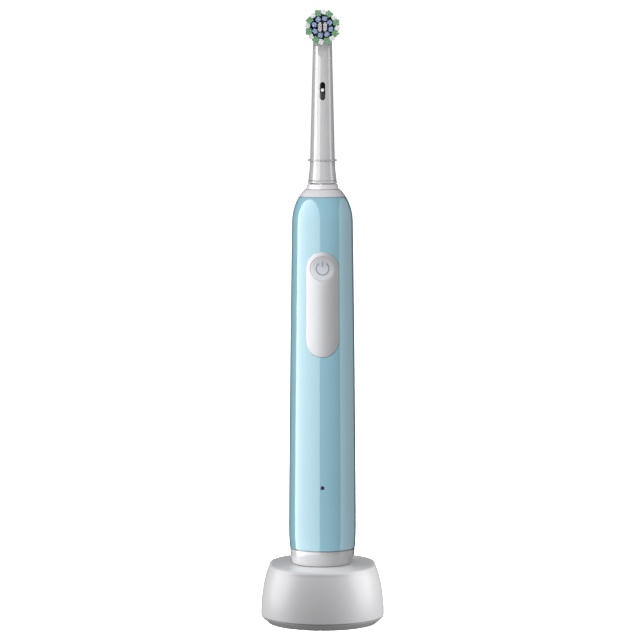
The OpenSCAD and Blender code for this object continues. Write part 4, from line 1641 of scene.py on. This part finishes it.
    def build(self) -> None:
        """Build and dress the head."""
        get, z = self.palette.get, self.inlay_z
        width, height = self.inlay_width - 0.06, self.inlay_height - 0.06
        for piece, finish, slot, *nodes in (
            (self.neck(), "white_plastic", "white_plastic", "head_neck"),
            (self.end_cap(), "white_plastic", "grey_plastic", "head_end_cap"),
            (self.id_ring(), "grey_plastic", "grey_plastic", "head_id_ring"),
            (
                self.pill("indicator_bed", width, height, z, lift=-0.1, floor=0.4),
                "inlay_black", "black_plastic", "neck_inlay",
            ),
            (
                self.pill("indicator_patch", 1.9, 3.3, z - 2.0, lift=-0.06, floor=0.3),
                "inlay_dark", "black_plastic",
            ),
            (
                self.pill("indicator_bead", 1.3, 1.45, z + 0.45, lift=0.0, floor=0.3),
                "inlay_bead", "white_plastic",
            ),
        ):
            enlist(piece, get(finish), "brush_head", slot, *nodes)


# ---- Bristles ----


@dataclass(frozen=True)
class TuftRing:
    """One ring of equal tufts on the carrier, with its angles in degrees."""

    ring_r: float
    start: float
    length: float
    flare: float
    lean: float
    across: float
    along: float
    square: float = 9.0
    count: int = 8


@dataclass
class BristleDisc:
    """The round swinging carrier with its tufts of filaments."""

    palette: Palette
    carrier_r: float = CARRIER.x1
    bore_r: float = 0.8
    back: float = -CARRIER.y1
    front: float = -CARRIER.y0
    sunk: float = 0.3
    strand_r: float = 0.105
    round_off: float = 0.08
    tip_share: float = 0.84
    tip_drop: float = 0.02
    pitch: float = 0.212
    row_pitch: float = 0.87
    jitter: float = 0.02
    sway: float = 0.012
    splay: tuple[float, float] = (0.03, 0.05)
    uneven: tuple[float, float] = (-0.014, 0.008)
    gathered: float = 0.92
    centre_x: float = 1.08
    centre_form: Place = (1.35, 3.1, 3)
    centre_length: float = 6.6
    seed: int = 11
    green: TuftRing = TuftRing(ring_r=4.85, start=42, length=7.0, flare=9, lean=14, across=2.2, along=1.95)
    white: TuftRing = TuftRing(ring_r=5.05, start=20, length=7.0, flare=9, lean=14, across=1.75, along=1.55)
    blue: TuftRing = TuftRing(ring_r=3.3, start=2, length=6.6, flare=2, lean=-7, across=1.5, along=1.5)

    def carrier(self) -> bpy.types.Object:
        """Build the round plate that holds the tufts.

        Returns:
            The plate.
        """
        outline = soften(
            [
                (self.bore_r, self.back, 0),
                (self.carrier_r, self.back, 0.5),
                (self.carrier_r, self.front, 0.6),
                (0.0, self.front, 0),
            ]
        )
        floor = self.front - 0.8
        outline += [(0.0, floor), (self.bore_r, floor), (self.bore_r, self.back)]
        piece = turn("tuft_plate", outline, 128)
        lay_down(piece, DISC_Z)
        return piece

    def strand(self, length: float) -> bpy.types.Mesh:
        """Model one filament with a rounded end, along the upright axis.

        Args:
            length: Its length, in millimetres.

        Returns:
            Its mesh, which starts at height zero.
        """
        clear_selection()
        bpy.ops.mesh.primitive_cylinder_add(
            vertices=6,
            radius=self.strand_r * MM,
            depth=length * MM,
            location=(0, 0, length / 2 * MM),
            end_fill_type="TRIFAN",
        )
        piece = christen("strand")
        bpy.ops.object.transform_apply(location=True, rotation=True, scale=True)
        bpy.ops.object.mode_set(mode="EDIT")
        bpy.ops.mesh.select_all(action="SELECT")
        bpy.ops.mesh.bisect(plane_co=(0, 0, (length - self.round_off) * MM), plane_no=(0, 0, 1))
        bpy.ops.object.mode_set(mode="OBJECT")
        rim = (length - self.round_off / 8) * MM
        for vertex in piece.data.vertices:
            if vertex.co.z > rim and vertex.co.xy.length > HAIR:
                vertex.co.xy *= self.tip_share
                vertex.co.z -= self.tip_drop * MM
        mesh = piece.data.copy()
        bpy.data.objects.remove(piece, do_unlink=True)
        return mesh

    def bundle(self, across: float, along: float, square: float, chance: random.Random) -> Outline:
        """Pack filaments into a tuft's rounded block.

        Args:
            across: Its size outwards from the middle.
            along: Its size along the ring.
            square: How square its corners are; 2 is round.
            chance: Seeded source of small differences.

        Returns:
            The place of each filament in the block.
        """
        places: Outline = []
        rows = round(along / 2 / (self.pitch * self.row_pitch)) + 1
        columns = round(across / 2 / self.pitch) + 1
        for j in range(-rows, rows + 1):
            for i in range(-columns, columns + 1):
                u = (i + 0.5 * (j % 2)) * self.pitch + chance.uniform(-self.jitter, self.jitter)
                v = j * self.pitch * self.row_pitch + chance.uniform(-self.jitter, self.jitter)
                if (abs(u) / (across / 2)) ** square + (abs(v) / (along / 2)) ** square < 1:
                    places.append((u, v))
        return places

    def gather(self, name: str, strand: bpy.types.Mesh, stands: list[Matrix]) -> bpy.types.Object:
        """Copy one filament to every place and join the copies.

        Args:
            name: The piece's name.
            strand: The filament.
            stands: Where each copy stands.

        Returns:
            All the copies as one piece.
        """
        corners = [v.co.copy() for v in strand.vertices]
        faces = [tuple(p.vertices) for p in strand.polygons]
        points, loops = [], []
        for stand in stands:
            start = len(points)
            points += [stand @ c for c in corners]
            loops += [tuple(start + i for i in face) for face in faces]
        mesh = bpy.data.meshes.new(name)
        mesh.from_pydata(points, [], loops)
        piece = bpy.data.objects.new(name, mesh)
        bpy.context.collection.objects.link(piece)
        activate(piece)
        bpy.ops.object.shade_smooth()
        return piece

    def ring_stands(self, ring: TuftRing, chance: random.Random) -> list[Matrix]:
        """Find where the filaments of a ring stand.

        Args:
            ring: The ring of tufts.
            chance: Seeded source of small differences.

        Returns:
            One placement for each filament.
        """
        stands: list[Matrix] = []
        for k in range(ring.count):
            a = math.radians(ring.start + 360 / ring.count * k)
            out = Vector((math.sin(a), 0, math.cos(a)))
            side = Vector((-math.cos(a), 0, math.sin(a)))
            flare, lean = math.tan(math.radians(ring.flare)), math.tan(math.radians(ring.lean))
            aim = Vector((0, -1, 0)) + out * flare + side * lean
            foot = Vector((0, self.sunk - self.front, DISC_Z)) + out * ring.ring_r
            stands += self.tuft(foot, aim, out, side, (ring.across, ring.along, ring.square), chance)
        return stands

    def tuft(
        self, foot: Vector, aim: Vector, out: Vector, side: Vector, form: Place, chance: random.Random
    ) -> list[Matrix]:
        """Find where the filaments of one tuft stand.

        Args:
            foot: Middle of the tuft's hole, in millimetres.
            aim: Direction of the tuft.
            out: Direction of its first size.
            side: Direction of its second size.
            form: Its first size, its second size and how square its corners are.
            chance: Seeded source of small differences.

        Returns:
            One placement for each filament.
        """
        stands = []
        for u, v in self.bundle(*form, chance):
            splay = out * (u * self.splay[0]) + side * (v * self.splay[1])
            sway = Vector((chance.uniform(-self.sway, self.sway), 0, chance.uniform(-self.sway, self.sway)))
            heading = (aim.normalized() + splay + sway).normalized()
            turned = Vector((0, 0, 1)).rotation_difference(heading).to_matrix().to_4x4()
            size = Matrix.Diagonal((1, 1, 1 + chance.uniform(*self.uneven), 1))
            place = (foot + (out * u + side * v) * self.gathered) * MM
            stands.append(Matrix.Translation(place) @ turned @ size)
        return stands

    def centre_stands(self, chance: random.Random) -> list[Matrix]:
        """Find where the filaments of the two oval middle tufts stand.

        Args:
            chance: Seeded source of small differences.

        Returns:
            One placement for each filament.
        """
        stands = []
        out, side, aim = Vector((1, 0, 0)), Vector((0, 0, 1)), Vector((0, -1, 0))
        for x in (-self.centre_x, self.centre_x):
            foot = Vector((x, self.sunk - self.front, DISC_Z))
            stands += self.tuft(foot, aim, out, side, self.centre_form, chance)
        return stands

    def build(self) -> None:
        """Build and dress the disc."""
        get, chance, body = self.palette.get, random.Random(self.seed), "bristle_disc"
        enlist(self.carrier(), get("carrier_white"), body, "grey_plastic", "bristle_carrier")
        for name, ring, finish, node in (
            ("green_filaments", self.green, "green_nylon", "green_tufts"),
            ("white_filaments", self.white, "white_nylon", "white_outer_tufts"),
            ("blue_filaments", self.blue, "blue_nylon", "blue_tufts"),
        ):
            stands = self.ring_stands(ring, chance)
            piece = self.gather(name, self.strand(ring.length + self.sunk), stands)
            enlist(piece, get(finish), body, finish, node)
        centre = self.gather("centre_filaments", self.strand(self.centre_length), self.centre_stands(chance))
        enlist(centre, get("centre_nylon"), body, "white_nylon", "white_centre_tufts")


# ---- Works inside ----


WORKS = {
    "board": ("charger_pcb", "handle_pcb"),
    "inner_grey": ("coil_bobbin", "coil_former", "shaft_carrier", "tact_switch"),
    "inner_white": (
        "chassis", "motor_end_cap", "crank_gear", "connecting_rod", "head_coupler", "rod_bush",
    ),
    "copper": ("primary_coil", "secondary_coil"),
    "ferrite": ("ferrite_rod", "motor_magnets"),
    "sleeve_blue": ("charger_electrolytic",),
    "film_brown": ("charger_film_capacitor", "fuse_resistor"),
    "component_black": ("charger_semiconductors", "pcb_components", "switch_plunger"),
    "seal_rubber": ("bottom_seal", "shaft_seal"),
    "sleeve_green": ("battery",),
    "nickel": ("battery_tabs", "motor_terminals"),
    "pressed_steel": ("motor_can", "motor_rotor"),
    "bronze": ("motor_bushings", "shaft_bushings", "motor_pinion"),
    "steel": (
        "motor_screws", "carrier_screws", "crank_axle", "rocker", "drive_shaft", "drive_rod", "disc_axle",
    ),
    "lamp_green": ("led",),
}


@dataclass
class Works:
    """The inner parts, which keep their shape and get their real finishes."""

    palette: Palette

    def build(self) -> None:
        """Give every inner solid its finish."""
        for finish, nodes in WORKS.items():
            for node in nodes:
                dress(frame["nodes"][node], self.palette.get(finish))
                LOG.info("%s: finished in %s", node, finish)


# ---- Studio ----


@dataclass
class Softbox:
    """A curved light round part of the horizon, seen in reflections only.

    Its start and end are degrees clockwise from the camera's side, seen from above. low and high
    are its lower edge and the foot of its arch, and crown is the arch's elevation in degrees.
    first and last are its strengths at the start and the end.
    """

    name: str
    start: float
    end: float
    high: float
    crown: float
    first: float
    last: float
    low: float = -700.0
    arch: float = 0.6
    distance: float = 1100.0
    columns: int = 64
    rows: int = 12

    def build(self) -> bpy.types.Object:
        """Build the lit sheet, with its arched top, and hide it from the camera.

        Returns:
            The sheet.
        """

        def place(column: int, row: int) -> Place:
            """Return the place of a vertex of the sheet."""
            share = column / self.columns
            a = math.radians(self.start + (self.end - self.start) * share)
            arch = max(0.0, 1 - (2 * share - 1) ** 2) ** self.arch
            top = self.high + (self.distance * math.tan(math.radians(self.crown)) - self.high) * arch
            z = self.low + (top - self.low) * row / (self.rows - 1)
            return -self.distance * math.sin(a), -self.distance * math.cos(a), z

        panel = sheet(self.name, self.columns, self.rows, place)
        recipe = Recipe(self.name)
        axes = recipe.add("ShaderNodeSeparateXYZ")
        recipe.join(recipe.place, axes.inputs["Vector"])
        angle = recipe.add("ShaderNodeMath", operation="ARCTAN2")
        for axis, target in zip("XY", angle.inputs):
            turned = recipe.add("ShaderNodeMath", operation="MULTIPLY")
            turned.inputs[1].default_value = -1.0
            recipe.join(axes.outputs[axis], turned.inputs[0])
            recipe.join(turned.outputs["Value"], target)
        ends = math.radians(self.start), math.radians(self.end)
        recipe.shine(recipe.spread(angle.outputs["Value"], self.first, self.last, *ends))
        dress(panel, recipe.material)
        panel.visible_camera = panel.visible_diffuse = panel.visible_shadow = False
        return panel


class Reach(Enum):
    """Which rays a lamp is seen by, as diffuse and glossy."""

    BOTH = (True, True)
    MATT = (True, False)
    SHINE = (False, True)


@dataclass
class Lamp:
    """A rectangular light, a metre away, that faces the toothbrush.

    Its heading is degrees to the right of the camera's side and its rise is its elevation. Its
    width, its height and the height that it faces are metres.
    """

    name: str
    heading: float
    rise: float
    width: float
    height: float
    watts: float
    aim_z: float
    reach: Reach = Reach.MATT

    def build(self) -> bpy.types.Object:
        """Hang the light.

        Returns:
            The light.
        """
        a, e = math.radians(self.heading), math.radians(self.rise)
        place = Vector((math.sin(a) * math.cos(e), -math.cos(a) * math.cos(e), self.aim_z + math.sin(e)))
        data = bpy.data.lights.new(self.name, "AREA")
        data.shape, data.size, data.size_y, data.energy = "RECTANGLE", self.width, self.height, self.watts
        light = bpy.data.objects.new(self.name, data)
        light.location = place
        light.rotation_euler = (Vector((0, 0, self.aim_z)) - place).to_track_quat("-Z", "Y").to_euler()
        light.visible_diffuse, light.visible_glossy = self.reach.value
        light.visible_camera = False
        bpy.context.collection.objects.link(light)
        return light


@dataclass
class LightGroup:
    """Lights that fall only on some bodies, on a few further pieces and on the floor."""

    name: str
    lights: tuple[Softbox | Lamp, ...]
    bodies: tuple[str, ...]
    pieces: tuple[str, ...] = ()

    def build(self) -> None:
        """Build the lights and link them to what they light."""
        lights = [light.build() for light in self.lights]
        group = bpy.data.collections.new(self.name)
        for piece in list(bpy.data.objects):
            rides = set(body_of(piece) or ()) & set(self.bodies)
            if piece.type == "MESH" and (rides or piece.name in ("floor", *self.pieces)):
                group.objects.link(piece)
        for light in lights:
            light.light_linking.receiver_collection = group


def bodies_but(*left_out: str) -> tuple[str, ...]:
    """Return the names of the frame's bodies, without some."""
    return tuple(body for body in frame["bodies"] if body not in left_out)


LIGHT_GROUPS = (
    LightGroup(
        "handle_lights",
        (
            Softbox("left_softbox", start=9, end=108, high=230, crown=50, first=1.9, last=4.3),
            Softbox("right_strip", start=-142, end=-65, high=250, crown=40, first=0.4, last=1.3),
            Lamp("handle_wash", -26, 20, 0.8, 0.8, watts=10, aim_z=0.12),
        ),
        bodies_but("charger", "brush_head", "bristle_disc"),
    ),
    LightGroup(
        "left_lights",
        (Lamp("left_wash", -72, 30, 0.5, 0.5, watts=13.5, aim_z=0.14),),
        ("button",),
        ("soft_pad_panel", "foot_cap"),
    ),
    LightGroup(
        "neck_lights",
        (
            Lamp("neck_shine", -72, 0, 0.6, 0.8, watts=13, aim_z=0.22, reach=Reach.SHINE),
            Lamp("neck_glow", -38, 0, 0.5, 0.8, watts=6, aim_z=0.22, reach=Reach.SHINE),
            Lamp("neck_edge", 84, 0, 0.4, 0.8, watts=2.8, aim_z=0.22, reach=Reach.SHINE),
            Lamp("neck_wash", -10, 10, 0.8, 0.8, watts=9, aim_z=0.2),
        ),
        ("brush_head",),
    ),
    LightGroup(
        "bristle_lights",
        (Lamp("bristle_wash", -25, 20, 0.4, 0.4, watts=15.5, aim_z=0.25),),
        ("bristle_disc",),
    ),
    LightGroup(
        "rear_lights",
        (
            Lamp("rear_left", -128, 15, 0.9, 0.9, watts=6.5, aim_z=0.14),
            Lamp("rear_right", 130, 15, 0.9, 0.9, watts=4.5, aim_z=0.14),
        ),
        bodies_but("charger"),
    ),
    LightGroup(
        "charger_lights",
        (
            Lamp("charger_left", -92, 20, 0.95, 0.9, watts=11.2, aim_z=0.01, reach=Reach.BOTH),
            Lamp("charger_right", 88, 20, 0.95, 0.9, watts=11.8, aim_z=0.01, reach=Reach.BOTH),
            Lamp("charger_front", 0, 70, 0.7, 0.7, watts=2.6, aim_z=0.01),
        ),
        ("charger",),
    ),
)


@dataclass
class Studio:
    """Camera, lights, pale floor and white surround."""

    eye: Place = (-1.05, -1364.0, 240.0)
    pitch: float = 4.65
    lens: float = 180.5
    world: float = 0.3
    floor_size: float = 12.0
    floor_glow: tuple[float, float] = (0.86, 1.1)
    glow_reach: tuple[float, float] = (0.05, 0.6)
    dome_r: float = 9.0
    dome_glow: float = 1.05

    def camera(self) -> None:
        """Set the camera up."""
        data = bpy.data.cameras.new("camera")
        data.lens, data.sensor_width = self.lens, 36
        data.clip_start, data.clip_end = 0.05, 60
        eye = bpy.data.objects.new("camera", data)
        eye.location = Vector(self.eye) * MM
        eye.rotation_euler = (math.radians(90 - self.pitch), 0, 0)
        bpy.context.collection.objects.link(eye)
        bpy.context.scene.camera = eye

    def floor(self) -> bpy.types.Object:
        """Build the plain floor, which glows a little far out so that it ends without a horizon.

        Returns:
            The floor.
        """
        clear_selection()
        bpy.ops.mesh.primitive_plane_add(size=self.floor_size)
        floor = christen("floor")
        recipe = Recipe("floor_paint")
        tone = recipe.tint(recipe.spread(recipe.noise(400, 1), 0, 1), (0.8, 0.8, 0.8), (0.82, 0.82, 0.82))
        recipe.join(tone, recipe.shader.inputs["Base Color"])
        recipe.set(Roughness=0.9, Specular_IOR_Level=0.0)
        distance = recipe.add("ShaderNodeVectorMath", operation="LENGTH")
        recipe.join(recipe.place, distance.inputs[0])
        glow = recipe.spread(distance.outputs["Value"], *self.floor_glow, *self.glow_reach)
        recipe.join(glow, recipe.shader.inputs["Emission Strength"])
        recipe.shader.inputs["Emission Color"].default_value = (1, 1, 1, 1)
        dress(floor, recipe.material)
        return floor

    def dome(self) -> bpy.types.Object:
        """Build the white dome behind everything.

        Returns:
            The dome.
        """
        bpy.ops.mesh.primitive_uv_sphere_add(segments=48, ring_count=24, radius=self.dome_r)
        dome = christen("white_dome")
        recipe = Recipe("dome_white")
        recipe.shine(self.dome_glow)
        dress(dome, recipe.material)
        return dome

    def build(self) -> None:
        """Set up the whole studio."""
        scene = bpy.context.scene
        scene.view_settings.view_transform = "Standard"
        scene.world = scene.world or bpy.data.worlds.new("studio")
        scene.world.use_nodes = True
        background = scene.world.node_tree.nodes["Background"]
        background.inputs["Color"].default_value = (self.world, self.world, self.world, 1)
        scene.world.cycles_visibility.glossy = False
        self.camera()
        for piece in (self.floor(), self.dome()):
            piece.visible_diffuse = piece.visible_glossy = piece.visible_transmission = False
            piece.visible_volume_scatter = piece.visible_shadow = False
        for group in LIGHT_GROUPS:
            group.build()
            LOG.info("%s: %d lights", group.name, len(group.lights))


def main() -> None:
    """Build the toothbrush and its studio."""
    logging.basicConfig(level=logging.INFO, format="%(name)s: %(message)s")
    palette = Palette()
    for part in (
        Works(palette),
        Charger(palette),
        Handle(palette),
        ButtonPad(palette),
        BrushHead(palette),
        BristleDisc(palette),
        Studio(),
    ):
        part.build()
        LOG.info("%s built", type(part).__name__)


if __name__ == "__main__":
    main()
